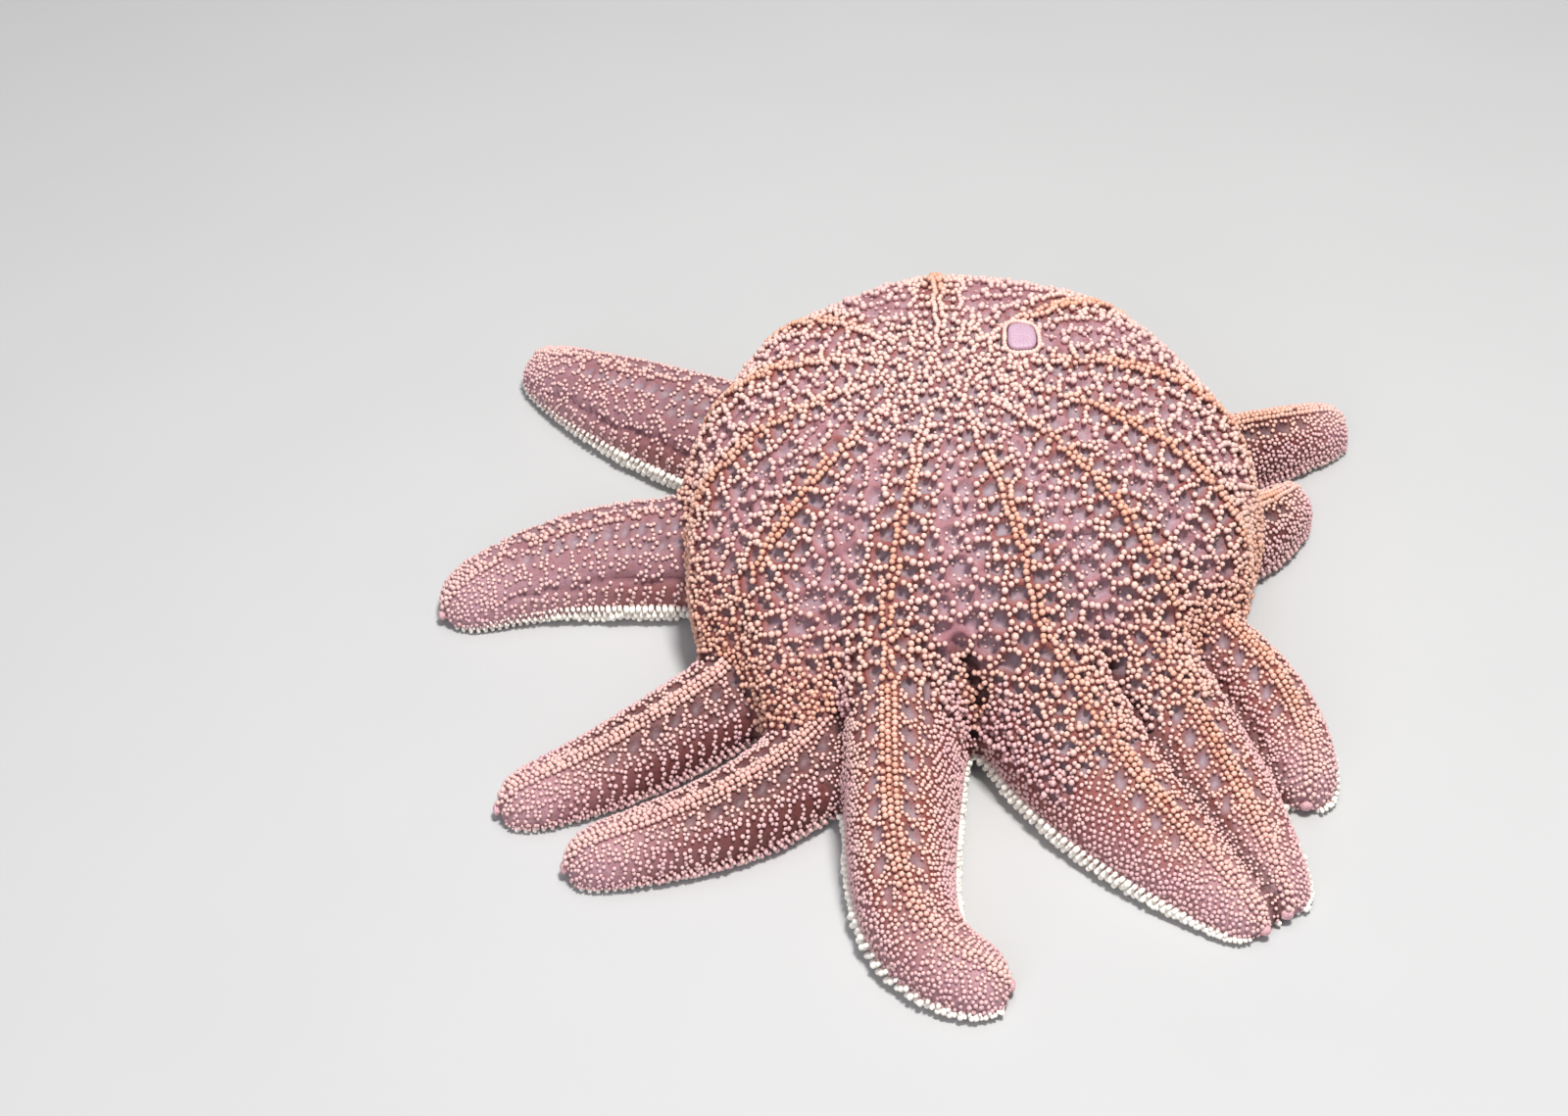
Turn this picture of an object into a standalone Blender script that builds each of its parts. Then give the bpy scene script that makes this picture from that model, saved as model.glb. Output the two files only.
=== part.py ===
"""An eleven-armed reef starfish at life size, hunched up on its arms over its own mouth.

The disc is swollen into a dome and stands clear of the floor. Eleven arms come out round its foot,
lie along the floor on small flats, and carry it. Everything is in metres, with +Z up. The origin is
on the floor, under the middle of the whole animal. Bearings are in degrees, from +X towards +Y.
"""
import bpy
import bmesh
from math import cos, pi, radians, sin, sqrt, tau
from mathutils import Vector

MM = 0.001
GAP = 0.3 * MM                          # room left between neighbouring pieces

# Disc: a dome, like the top three quarters of a flattened ball
DISC_AT = Vector((0.0105, 0.0114, 0.0))  # the dome's middle, on the floor
DOME_RADIUS = 53.0 * MM                  # at its widest
DOME_FULLNESS = 0.85                     # 1 is a plain ellipse, and less is fuller over the shoulders
DOME_RISE = 39.0 * MM                    # from its widest level to its crown
DOME_BELLY = 13.0 * MM                   # height of its widest level
DOME_RIM = 3.0 * MM                      # the rim's height, so that the arms carry the disc
CROWN_PUSH = (-0.14, -0.06)              # how far the crown leans out of the middle, in radii
LOBE = 2.2 * MM                          # ridge over each arm against the furrow beside it
FLARE_TOP = 38.0 * MM                    # below this the dome flares out over the arm bases
DISC_SIDES = 66
DISC_FALLS = (9, 18, 27, 37, 47, 57, 67, 77, 87, 97)   # degrees down from the crown, without the rim
RIM_INSET = 5.0 * MM                     # the rim's small flat edge
VAULT_RADIUS = 34.0 * MM
VAULT_HEIGHT = 4.5 * MM
MOUTH_RADIUS = 7.0 * MM
MOUTH_LIP = 5.5 * MM                     # height of the mouth's edge
MOUTH_DEPTH = 5.0 * MM

# Arms
ARM_START = 36.0 * MM                    # the mid-line starts inside the disc, where it is cut away
ARM_STEPS = 9                            # lengths between the start and the rounding of the tip
TIP_ANGLES = (28, 52, 72, 86)            # stations round the blunt tip, in degrees
GROOVE_WIDTH = 0.30                      # half the groove under an arm, in half widths
GROOVE_DEPTH = 0.22                      # in ridge heights
GROOVE_LIMIT = 3.0 * MM
# Half of a cross-section from the flat outwards and up to the ridge, in half widths and heights
HALF_SECTION = ((0.80, 0.0), (0.96, 0.13), (1.0, 0.33), (0.90, 0.60), (0.66, 0.82), (0.33, 0.955))

TERMINAL_RADII = (1.0 * MM, 1.8 * MM, 1.5 * MM)   # half its thickness, width and height
TERMINAL_HEIGHT = 2.4 * MM

MADREPORITE_AT = (8.3 * MM, 5.4 * MM)    # from the dome's middle
MADREPORITE_SIZE = 5.2 * MM
MADREPORITE_THICKNESS = 1.1 * MM
MADREPORITE_LIFT = 0.1 * MM              # over the gap, because the disc curves under it


class Arm:
    """One arm: where it leaves the disc, where its tip lies, and how thick it is on the way.

    crest is the bearing of its ridge on the upper disc and foot its bearing at the disc's rim, where
    the disc swells by flare over its base. Its mid-line leaves along leave. The tip is given by
    bearing and reach, and faces heading; pull holds how long the arm keeps its first and its last
    direction. half_width and height are at its start, middle and end, and lean moves the ridge
    towards the arm's left, in half widths."""

    def __init__(self, crest, foot, leave, flare, tip, reach, heading, pull, half_width, height,
                 lean=0.0):
        self.crest = crest
        self.foot = foot
        self.leave = leave
        self.flare = flare * MM
        self.tip = tip
        self.reach = reach * MM
        self.heading = heading
        self.pull = [length * MM for length in pull]
        self.half_width = [value * MM for value in half_width]
        self.height = [value * MM for value in height]
        self.lean = lean


ARMS = (
    Arm(140, 145, 145, 2, 144.2, 110, 128, (28, 24), (13.5, 12.5, 6.5), (19, 17, 8)),
    Arm(166, 184, 184, 2, 189.0, 103, 213, (30, 26), (13.0, 11.8, 7.0), (18, 17, 8)),
    Arm(192, 222, 222, 9, 217.6, 110, 197, (28, 26), (9.5, 9.5, 6.5), (15, 12.5, 7)),
    Arm(220, 245, 245, 18, 227.4, 110, 195, (42, 30), (10.5, 9.5, 6.5), (14.5, 13.5, 7.5)),
    Arm(250, 250, 268, 4, 271.4, 107, 356, (52, 26), (12.5, 9.3, 8.3), (36, 18.5, 7), -0.45),
    Arm(281, 280, 284, 3, 295.8, 106, 311, (28, 24), (12.5, 12.5, 5.5), (36, 18.5, 6.5)),
    Arm(310, 303, 303, 4, 298.6, 105, 284, (26, 24), (11.0, 11.0, 6.0), (34, 17.5, 6.5)),
    Arm(338, 325, 325, 4, 310.4, 88, 262, (22, 20), (9.0, 8.0, 6.0), (20, 16, 8)),
    Arm(367, 355, 355, 3, 375.0, 70, 60, (14, 14), (8.5, 8.0, 5.5), (17, 14.5, 9)),
    Arm(408, 388, 388, 4, 387.5, 91, 32, (20, 18), (8.5, 8.0, 6.5), (17, 15, 9)),
    Arm(456, 452, 452, 4, 446.0, 89, 70, (20, 20), (11.0, 10.0, 6.0), (26, 16, 5)),
)
# Where two arms press together, the first of the pair gives way to the second, by number
PRESSED = ((4, 5), (6, 5), (3, 4), (7, 6), (8, 7))


def smooth(value):
    """A soft step from 0 to 1."""
    value = min(max(value, 0.0), 1.0)
    return value * value * (3.0 - 2.0 * value)


def through(values, place):
    """The parabola through three values at 0, a half and 1."""
    start, middle, end = values
    bend = start - 2.0 * middle + end
    return start + (4.0 * middle - 3.0 * start - end) * place + 2.0 * bend * place * place


def arm_fields(bearing, descent):
    """How much of a ridge stands at a bearing of the disc, and how far it flares there.

    descent is 0 on the upper disc and 1 at its rim: the ridges swing from crest to foot bearings."""
    places = [arm.crest + (arm.foot - arm.crest) * descent for arm in ARMS]
    for index, place in enumerate(places):
        following = places[index + 1] if index + 1 < len(ARMS) else places[0] + 360.0
        offset = (bearing - place) % 360.0
        gap = following - place
        if offset > gap:
            continue
        phase = offset / gap
        ridge = (0.5 + 0.5 * cos(tau * phase)) ** max(1.0, gap / 32.0)
        here, there = ARMS[index].flare, ARMS[(index + 1) % len(ARMS)].flare
        return ridge, here + (there - here) * smooth(phase)
    return 0.0, 0.0


def disc_point(bearing, fall, grow=0.0):
    """A point of the disc's upper surface, fall degrees down from its crown."""
    down = radians(fall)
    turn = radians(bearing)
    push = max(0.0, cos(down)) ** 1.5
    way = Vector((sin(down) * cos(turn) + CROWN_PUSH[0] * push,
                  sin(down) * sin(turn) + CROWN_PUSH[1] * push,
                  cos(down)))
    way.normalize()
    out = sqrt(way.x * way.x + way.y * way.y)
    if out > 0.0 and way.z > 0.0:
        way.x *= out ** (DOME_FULLNESS - 1.0)
        way.y *= out ** (DOME_FULLNESS - 1.0)
        way.z = way.z ** DOME_FULLNESS
    height = DOME_BELLY + (DOME_RISE + grow) * way.z
    ridge, flare = arm_fields(bearing, smooth((fall - 55.0) / 50.0))
    radius = DOME_RADIUS + grow + LOBE * (ridge - 0.4) * sin(down) ** 2
    radius += flare * smooth((FLARE_TOP - height) / (FLARE_TOP - DOME_RIM))
    return DISC_AT + Vector((radius * way.x, radius * way.y, height))


def rim_fall():
    """The fall in degrees at which the dome comes down to its rim."""
    low, high = 90.0, 150.0
    for _ in range(40):
        middle = 0.5 * (low + high)
        if DOME_BELLY + DOME_RISE * cos(radians(middle)) > DOME_RIM:
            low = middle
        else:
            high = middle
    return low


def skin_rings(name, rings, first=None, last=None):
    """A closed mesh through rings of equal length, with a point or a flat cap at each end."""
    form = bmesh.new()
    loops = [[form.verts.new(point) for point in ring] for ring in rings]
    size = len(loops[0])
    for upper, lower in zip(loops, loops[1:]):
        for index in range(size):
            after = (index + 1) % size
            form.faces.new((upper[index], lower[index], lower[after]))
            form.faces.new((upper[index], lower[after], upper[after]))
    for ring, pole, turned in ((loops[0], first, False), (loops[-1], last, True)):
        order = list(reversed(ring)) if turned else ring
        if pole is None:
            form.faces.new(order)
            continue
        tip = form.verts.new(pole)
        for index in range(size):
            form.faces.new((tip, order[index], order[(index + 1) % size]))
    bmesh.ops.triangulate(form, faces=form.faces[:])
    bmesh.ops.recalc_face_normals(form, faces=form.faces[:])
    mesh = bpy.data.meshes.new(name)
    form.to_mesh(mesh)
    form.free()
    mesh.shade_smooth()
    piece = bpy.data.objects.new(name, mesh)
    bpy.context.scene.collection.objects.link(piece)
    return piece


def surface_rings(grow=0.0):
    """The rings of the disc's outside from under its crown to its rim."""
    falls = [*DISC_FALLS, rim_fall()]
    bearings = [360.0 * index / DISC_SIDES for index in range(DISC_SIDES)]
    return [[disc_point(bearing, fall, grow) for bearing in bearings] for fall in falls]


def make_disc(flesh):
    """The domed disc, with a shallow vault and the mouth on its underside."""
    rings = surface_rings()
    outer = rings[-1]
    inner = []
    for point in outer:
        way = (point - DISC_AT).to_2d()
        way = way.normalized() * (way.length - RIM_INSET)
        inner.append(DISC_AT + Vector((way.x, way.y, DOME_RIM)))
    rings.append(inner)
    for radius, height in ((VAULT_RADIUS, VAULT_HEIGHT), (MOUTH_RADIUS, MOUTH_LIP),
                           (0.6 * MOUTH_RADIUS, MOUTH_LIP + MOUTH_DEPTH)):
        ring = []
        for index in range(DISC_SIDES):
            turn = tau * index / DISC_SIDES
            ring.append(DISC_AT + Vector((radius * cos(turn), radius * sin(turn), height)))
        rings.append(ring)
    crown = disc_point(0.0, 0.0)
    palate = DISC_AT + Vector((0.0, 0.0, MOUTH_LIP + MOUTH_DEPTH))
    piece = skin_rings("disc", rings, crown, palate)
    piece.data.materials.append(flesh)
    return piece


def make_cutter(name, rings, first=None, last=None):
    """A closed shape that only cuts others."""
    piece = skin_rings(name, rings, first, last)
    piece.hide_render = True
    piece.display_type = "WIRE"
    return piece


def disc_cutter():
    """The disc's outside with a gap round it, carried down through the floor."""
    rings = surface_rings(GAP)
    below = [Vector((point.x, point.y, -5.0 * MM)) for point in rings[-1]]
    return make_cutter("cutter_disc", [*rings, below], disc_point(0.0, 0.0, GAP))


def towards(bearing):
    """The level direction at a bearing."""
    return Vector((cos(radians(bearing)), sin(radians(bearing)), 0.0))


def arm_path(arm):
    """The mid-line's four control points: a curve that starts along leave and ends along heading."""
    first = DISC_AT + towards(arm.foot) * ARM_START
    last = DISC_AT + towards(arm.tip) * arm.reach
    second = first + towards(arm.leave) * arm.pull[0]
    third = last - towards(arm.heading) * arm.pull[1]
    return first, second, third, last


def curve_point(points, place):
    """The place on a cubic curve, and its direction there."""
    first, second, third, last = points
    rest = 1.0 - place
    spot = (first * rest ** 3 + second * (3.0 * rest * rest * place)
            + third * (3.0 * rest * place * place) + last * place ** 3)
    way = ((second - first) * rest * rest + (third - second) * (2.0 * rest * place)
           + (last - third) * place * place)
    return spot, way.normalized()


def curve_length(points, steps=64):
    """The curve's length, measured along short chords."""
    spots = [curve_point(points, index / steps)[0] for index in range(steps + 1)]
    return sum((after - before).length for before, after in zip(spots, spots[1:]))


def section(spot, way, half_width, height, lean, grow, lift):
    """One cross-section, from the groove's roof round by the right flank, the ridge and the left."""
    across = Vector((way.y, -way.x, 0.0))
    groove = min(GROOVE_DEPTH * height, GROOVE_LIMIT)
    right = []
    for outward, upward in HALF_SECTION:
        right.append((half_width * outward, height * upward, upward))
    left = [(-outward, upward, share) for outward, upward, share in reversed(right)]
    edge = GROOVE_WIDTH * half_width
    outline = [(0.0, groove, 0.0), (edge, 0.0, 0.0), *right, (0.0, height, 1.0), *left,
               (-edge, 0.0, 0.0)]
    ring = []
    for outward, upward, share in outline:
        level = -lift if upward == 0.0 and lift else upward
        if lift and share == 0.0:
            level = -lift
        side = outward - lean * half_width * share ** 2
        if grow:
            side += grow if outward > 0.0 else -grow if outward < 0.0 else 0.0
            level += grow * share
        ring.append(spot + across * side + Vector((0.0, 0.0, level)))
    return ring


def arm_rings(arm, grow=0.0, lift=0.0):
    """The arm's sections from its start to its blunt tip."""
    points = arm_path(arm)
    rounding = through(arm.half_width, 1.0) / curve_length(points)
    stations = [(1.0 - rounding) * index / ARM_STEPS for index in range(ARM_STEPS + 1)]
    shrink = [1.0] * len(stations)
    for angle in TIP_ANGLES:
        stations.append(1.0 - rounding + rounding * sin(radians(angle)))
        shrink.append(cos(radians(angle)) ** 0.75)
    rings = []
    for place, scale in zip(stations, shrink):
        spot, way = curve_point(points, place)
        half_width = through(arm.half_width, place) * scale
        height = through(arm.height, place) * (0.3 + 0.7 * scale)
        if grow and place == stations[-1]:
            spot = spot + way * grow
        rings.append(section(spot, way, half_width, height, arm.lean * (1.0 - place), grow, lift))
    return rings


def cut(piece, cutter):
    """Take a cutter's shape away from a piece."""
    trim = piece.modifiers.new("trim", "BOOLEAN")
    trim.operation = "DIFFERENCE"
    trim.solver = "EXACT"
    trim.object = cutter


def make_arms(flesh):
    """The eleven arms, each cut back to the disc and to the neighbours that keep their shape."""
    around = disc_cutter()
    arms = []
    for number, arm in enumerate(ARMS, 1):
        piece = skin_rings("arm_%d" % number, arm_rings(arm))
        piece.data.materials.append(flesh)
        cut(piece, around)
        arms.append(piece)
    grown = {}
    for giving, keeping in PRESSED:
        if keeping not in grown:
            rings = arm_rings(ARMS[keeping - 1], GAP, 1.0 * MM)
            grown[keeping] = make_cutter("cutter_arm_%d" % keeping, rings)
        cut(arms[giving - 1], grown[keeping])
    return arms


def ball(name, centre, way, radii, sides=10, rows=5):
    """A small ellipsoid facing along way."""
    across = Vector((way.y, -way.x, 0.0))
    rings = []
    for row in range(1, rows + 1):
        fall = pi * row / (rows + 1)
        ring = []
        for index in range(sides):
            turn = tau * index / sides
            ring.append(centre + way * (radii[0] * sin(fall) * cos(turn))
                        + across * (radii[1] * sin(fall) * sin(turn))
                        + Vector((0.0, 0.0, radii[2] * cos(fall))))
        rings.append(ring)
    rise = Vector((0.0, 0.0, radii[2]))
    return skin_rings(name, rings, centre + rise, centre - rise)


def make_terminal_plates(plate):
    """The small plate that ends each arm, in front of its tip."""
    for number, arm in enumerate(ARMS, 1):
        spot, way = curve_point(arm_path(arm), 1.0)
        centre = spot + way * (GAP + TERMINAL_RADII[0]) + Vector((0.0, 0.0, TERMINAL_HEIGHT))
        piece = ball("terminal_plate_%d" % number, centre, way, TERMINAL_RADII)
        piece.data.materials.append(plate)


def make_madreporite(plate):
    """The sieve plate: a thin rounded square on the upper disc, off the crown."""
    offset = Vector((MADREPORITE_AT[0], MADREPORITE_AT[1], 0.0))
    share = offset.length / DOME_RADIUS
    tall = (1.0 - share ** (2.0 / DOME_FULLNESS)) ** (0.5 * DOME_FULLNESS)
    level = DOME_BELLY + DOME_RISE * tall
    steep = DOME_RISE / DOME_RADIUS * share ** (2.0 / DOME_FULLNESS - 1.0)
    up = (offset.normalized() * steep + Vector((0.0, 0.0, 1.0))).normalized()
    side = up.cross(Vector((0.0, 1.0, 0.0))).normalized()
    front = side.cross(up)
    seat = DISC_AT + offset + Vector((0.0, 0.0, level)) + up * (GAP + MADREPORITE_LIFT)
    rings = []
    for raised, spread in ((0.0, 0.92), (0.35, 1.0), (0.75, 0.94), (1.0, 0.70)):
        ring = []
        for index in range(20):
            turn = tau * index / 20.0
            square = (abs(cos(turn)) ** 3.2 + abs(sin(turn)) ** 3.2) ** (-1.0 / 3.2)
            radius = 0.5 * MADREPORITE_SIZE * spread * square
            ring.append(seat + side * (radius * cos(turn)) + front * (radius * sin(turn))
                        + up * (MADREPORITE_THICKNESS * raised))
        rings.append(ring)
    piece = skin_rings("madreporite", rings)
    piece.data.materials.append(plate)


def make_material(name, colour, roughness):
    """A plain finish in one colour."""
    finish = bpy.data.materials.new(name)
    finish.use_nodes = True
    shader = finish.node_tree.nodes["Principled BSDF"]
    shader.inputs["Base Color"].default_value = (*colour, 1.0)
    shader.inputs["Roughness"].default_value = roughness
    shader.inputs["Metallic"].default_value = 0.0
    return finish


def main():
    for piece in list(bpy.data.objects):
        bpy.data.objects.remove(piece)
    flesh = make_material("starfish_skin", (0.42, 0.22, 0.23), 0.6)
    plate = make_material("bony_plate", (0.60, 0.42, 0.50), 0.45)
    make_disc(flesh)
    make_arms(flesh)
    make_terminal_plates(plate)
    make_madreporite(plate)


main()
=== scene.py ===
"""The looks of an eleven-armed reef starfish, hunched up over its mouth.

One skin covers the disc and the arms. Blunt calcite spines stand on it: in a net and in double rows
down the dome, in cross rows on the arms, and as a pale fringe along the arms' lower edges. Lengths
are in metres, with +Z up, and bearings in degrees, from +X towards +Y.
"""
from functools import lru_cache
from math import cos, radians, sin, tau

import bmesh
import bpy
import numpy as np
from bpy.props import FloatProperty, FloatVectorProperty, PointerProperty
from mathutils import Euler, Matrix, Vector, noise
from mathutils.bvhtree import BVHTree
from mathutils.kdtree import KDTree


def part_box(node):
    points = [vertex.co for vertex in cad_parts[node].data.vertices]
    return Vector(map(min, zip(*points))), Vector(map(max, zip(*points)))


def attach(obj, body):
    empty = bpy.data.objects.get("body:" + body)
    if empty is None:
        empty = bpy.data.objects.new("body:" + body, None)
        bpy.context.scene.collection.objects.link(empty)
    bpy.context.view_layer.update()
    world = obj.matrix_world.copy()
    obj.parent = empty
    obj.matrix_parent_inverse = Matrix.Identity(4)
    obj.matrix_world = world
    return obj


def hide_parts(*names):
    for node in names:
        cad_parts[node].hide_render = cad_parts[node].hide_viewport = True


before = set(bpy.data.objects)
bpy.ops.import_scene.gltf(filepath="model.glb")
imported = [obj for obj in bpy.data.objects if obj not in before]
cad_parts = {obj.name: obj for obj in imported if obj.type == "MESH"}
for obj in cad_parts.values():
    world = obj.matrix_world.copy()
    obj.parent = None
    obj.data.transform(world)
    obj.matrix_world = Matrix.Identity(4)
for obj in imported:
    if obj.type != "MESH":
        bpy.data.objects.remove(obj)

bl_info = {
    "name": "Reef starfish",
    "version": (1, 0, 0),
    "blender": (4, 5, 0),
    "location": "3D View > Sidebar > Starfish",
    "description": "Builds the skin, spines and plates of a reef starfish around its solids",
    "category": "Add Mesh",
}

MM = 0.001
DOWN = np.array([0.0, 0.0, -1.0])
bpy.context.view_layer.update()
FLESH_SLOT = "skin"
PLATE_SLOT = "plate"
SEED = 11

# The disc, as the solids have it
DISC_AT = np.array([10.5, 11.4, 0.0]) * MM  # under the dome's middle
DOME_RADIUS = 53.0 * MM
CROWN_AT = DISC_AT + np.array([-7.0, -3.0, 0.0]) * MM  # where the rows of the dome meet
FORK_AT = np.array([4.8, -38.4, 29.0]) * MM  # the bare fork over the furrow between arms 5 and 6
FORK_END = np.array([9.6, -42.5, 4.0]) * MM  # where those two arms part
MOUTH_RADIUS = 7.0 * MM
MOUTH_LEVEL = 7.0 * MM
RIM_LEVEL = 5.0 * MM  # below this the disc's surface is its underside
VAULT_TOP = 9.0 * MM  # the hollow under the disc
VAULT_RADIUS = 45.0 * MM
UNDERSIDE_LEVEL = 5.5 * MM  # the middle level of the disc's underside
UNDERSIDE_RADIUS = 60.0 * MM

# The arms' mid-lines and sections, as the solids have them
ARM_START = 36.0 * MM
OUTLINE = ((0.0, 1.0), (0.33, 0.955), (0.66, 0.82), (0.90, 0.60), (1.0, 0.33), (0.96, 0.13),
           (0.80, 0.0), (0.30, 0.0))          # from the ridge round the flank to the groove
WIDEST_POINT = 4  # where the outline is widest
CREASED = 0.9  # arms stretched further than this are creased, and bare in places
FLAT_EDGE = 6  # where the outline meets the floor


class Arm:
    """One arm's mid-line, a cubic curve, the size of its sections at start, middle and end, and its
    traits.

    stretch spreads its cross rows and shows the skin between them; above CREASED it is creased too.
    combed is the share of the flank from which its rows stand apart, like combs. net is how far the
    dome's net runs along it, in millimetres. A tucked arm has a short, flesh-coloured fringe, and a
    sparse one shows the skin between the spines of its steep flanks.
    """

    def __init__(self, number, crest, foot, leave, tip, reach, heading, pull, half_width, height,
                 lean=0.0, stretch=0.0, combed=1.0, net=0.0, tucked=False, sparse=False):
        start = DISC_AT + towards(foot) * ARM_START
        end = DISC_AT + towards(tip) * reach * MM
        controls = (start, start + towards(leave) * pull[0] * MM,
                    end - towards(heading) * pull[1] * MM, end)
        share = np.linspace(0.0, 1.0, 241)[:, None]
        rest = 1.0 - share
        self.line = (controls[0] * rest ** 3 + controls[1] * 3.0 * rest ** 2 * share
                     + controls[2] * 3.0 * rest * share ** 2 + controls[3] * share ** 3)
        self.run = distances(self.line)
        self.length = self.run[-1]
        self.share = share[:, 0]
        self.ways = unit(np.gradient(self.line, axis=0))
        self.half_widths = np.array(half_width) * MM
        self.heights = np.array(height) * MM
        self.lean = lean
        self.number = number
        self.crest = crest
        self.foot = foot
        self.stretch = stretch
        self.creased = stretch > CREASED
        self.combed = combed
        self.net = net * MM
        self.tucked = tucked
        self.sparse = sparse

    def section(self, along):
        """Half width, height and lean of the sections at distances along the mid-line."""
        share = np.interp(along, self.run, self.share)
        half_width = parabola(self.half_widths, share)
        height = parabola(self.heights, share)
        rounding = self.half_widths[2]
        past = np.clip((along - (self.length - rounding)) / rounding, 0.0, 0.999)
        shrink = (1.0 - past ** 2) ** 0.375
        narrow = 1.0 + np.minimum(along, 0.0) / ARM_START
        half_width *= shrink * narrow
        return half_width, height * (0.3 + 0.7 * shrink), self.lean * (1.0 - share)

    def outline(self, along):
        """Each section's outline, as outward offsets and levels, and the arc from the ridge."""
        half_width, height, lean = self.section(along)
        points = np.array(OUTLINE)
        outward = half_width[:, None] * points[None, :, 0]
        level = height[:, None] * points[None, :, 1]
        steps = np.hypot(np.diff(outward, axis=1), np.diff(level, axis=1))
        arcs = np.concatenate([np.zeros((len(along), 1)), np.cumsum(steps, axis=1)], axis=1)
        return outward, level, arcs, half_width * lean, height

    def place(self, along, across):
        """Points on the sections' outlines: across is the arc from the ridge, plus to the right."""
        outward, level, arcs, lean, height = self.outline(along)
        arc = np.abs(across)
        column = np.clip((arcs[:, :-1] <= arc[:, None]).sum(axis=1) - 1, 0, len(OUTLINE) - 2)
        row = np.arange(len(along))
        span = np.maximum(arcs[row, column + 1] - arcs[row, column], 1e-9)
        part = np.clip((arc - arcs[row, column]) / span, 0.0, 1.0)
        out = outward[row, column] + part * (outward[row, column + 1] - outward[row, column])
        up = level[row, column] + part * (level[row, column + 1] - level[row, column])
        side = np.sign(across) * out - lean * (up / np.maximum(height, 1e-6)) ** 2
        spots, _, right = self.at(along)
        points = spots + right * side[:, None]
        points[:, 2] = up
        return points

    def at(self, along):
        """The mid-line's points, its directions and those to its right, at distances along it or
        before its start, towards the mouth."""
        spots = read_path(along, self.run, self.line)
        spots += towards(self.foot) * np.minimum(along, 0.0)[:, None]
        ways = unit(read_path(along, self.run, self.ways))
        return spots, ways, np.stack([ways[:, 1], -ways[:, 0], np.zeros(len(ways))], axis=1)

    def locate(self, points):
        """Distance along, signed arc from the ridge, and half perimeter, for points on the arm."""
        nearest = np.empty(len(points), int)
        for first in range(0, len(points), 4000):
            part = points[first:first + 4000, None, :2] - self.line[None, :, :2]
            nearest[first:first + 4000] = np.argmin((part ** 2).sum(axis=2), axis=1)
        ways = self.ways[nearest]
        offset = points - self.line[nearest]
        along = self.run[nearest] + (offset[:, :2] * ways[:, :2]).sum(axis=1)
        right = rightward(offset, ways)
        outward, _, arcs, lean, height = self.outline(np.clip(along, 0.0, self.length))
        half_width = np.maximum(outward[:, WIDEST_POINT], 1e-6)
        high = np.clip(points[:, 2] / np.maximum(height, 1e-6), 0.0, 1.0)
        side = right + lean * high ** 2
        turn = np.arctan2(np.abs(side) / half_width, high)
        turns = np.array([np.arctan2(out, up) for out, up in OUTLINE[:FLAT_EDGE + 1]])
        arc = np.array([np.interp(value, turns, row[:FLAT_EDGE + 1])
                        for value, row in zip(turn, arcs)])
        return along, np.sign(side) * arc, arcs[:, FLAT_EDGE]


def towards(bearing):
    """The level direction at a bearing."""
    return np.array([cos(radians(bearing)), sin(radians(bearing)), 0.0])


def parabola(values, share):
    """The parabola through three values at 0, a half and 1."""
    start, middle, end = values
    bend = start - 2.0 * middle + end
    return start + (4.0 * middle - 3.0 * start - end) * share + 2.0 * bend * share * share


def smooth(value, low, high):
    """A soft step from 0 at low to 1 at high."""
    share = np.clip((value - low) / (high - low), 0.0, 1.0)
    return share * share * (3.0 - 2.0 * share)


def unit(vectors):
    """Vectors, each made one long."""
    return vectors / np.linalg.norm(vectors, axis=1)[:, None]


def distances(path):
    """How far along a path each of its points is."""
    return np.concatenate([[0.0], np.cumsum(np.linalg.norm(np.diff(path, axis=0), axis=1))])


def read_path(steps, run, path):
    """A path's values at distances along it."""
    return np.stack([np.interp(steps, run, path[:, axis]) for axis in range(3)], 1)


def in_plan(points, middle):
    """How far points are from a middle, seen from above."""
    return np.linalg.norm((points - middle)[:, :2], axis=1)


def rightward(offset, way):
    """How far offsets lie to the right of a level direction."""
    return offset[:, 0] * way[..., 1] - offset[:, 1] * way[..., 0]


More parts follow.
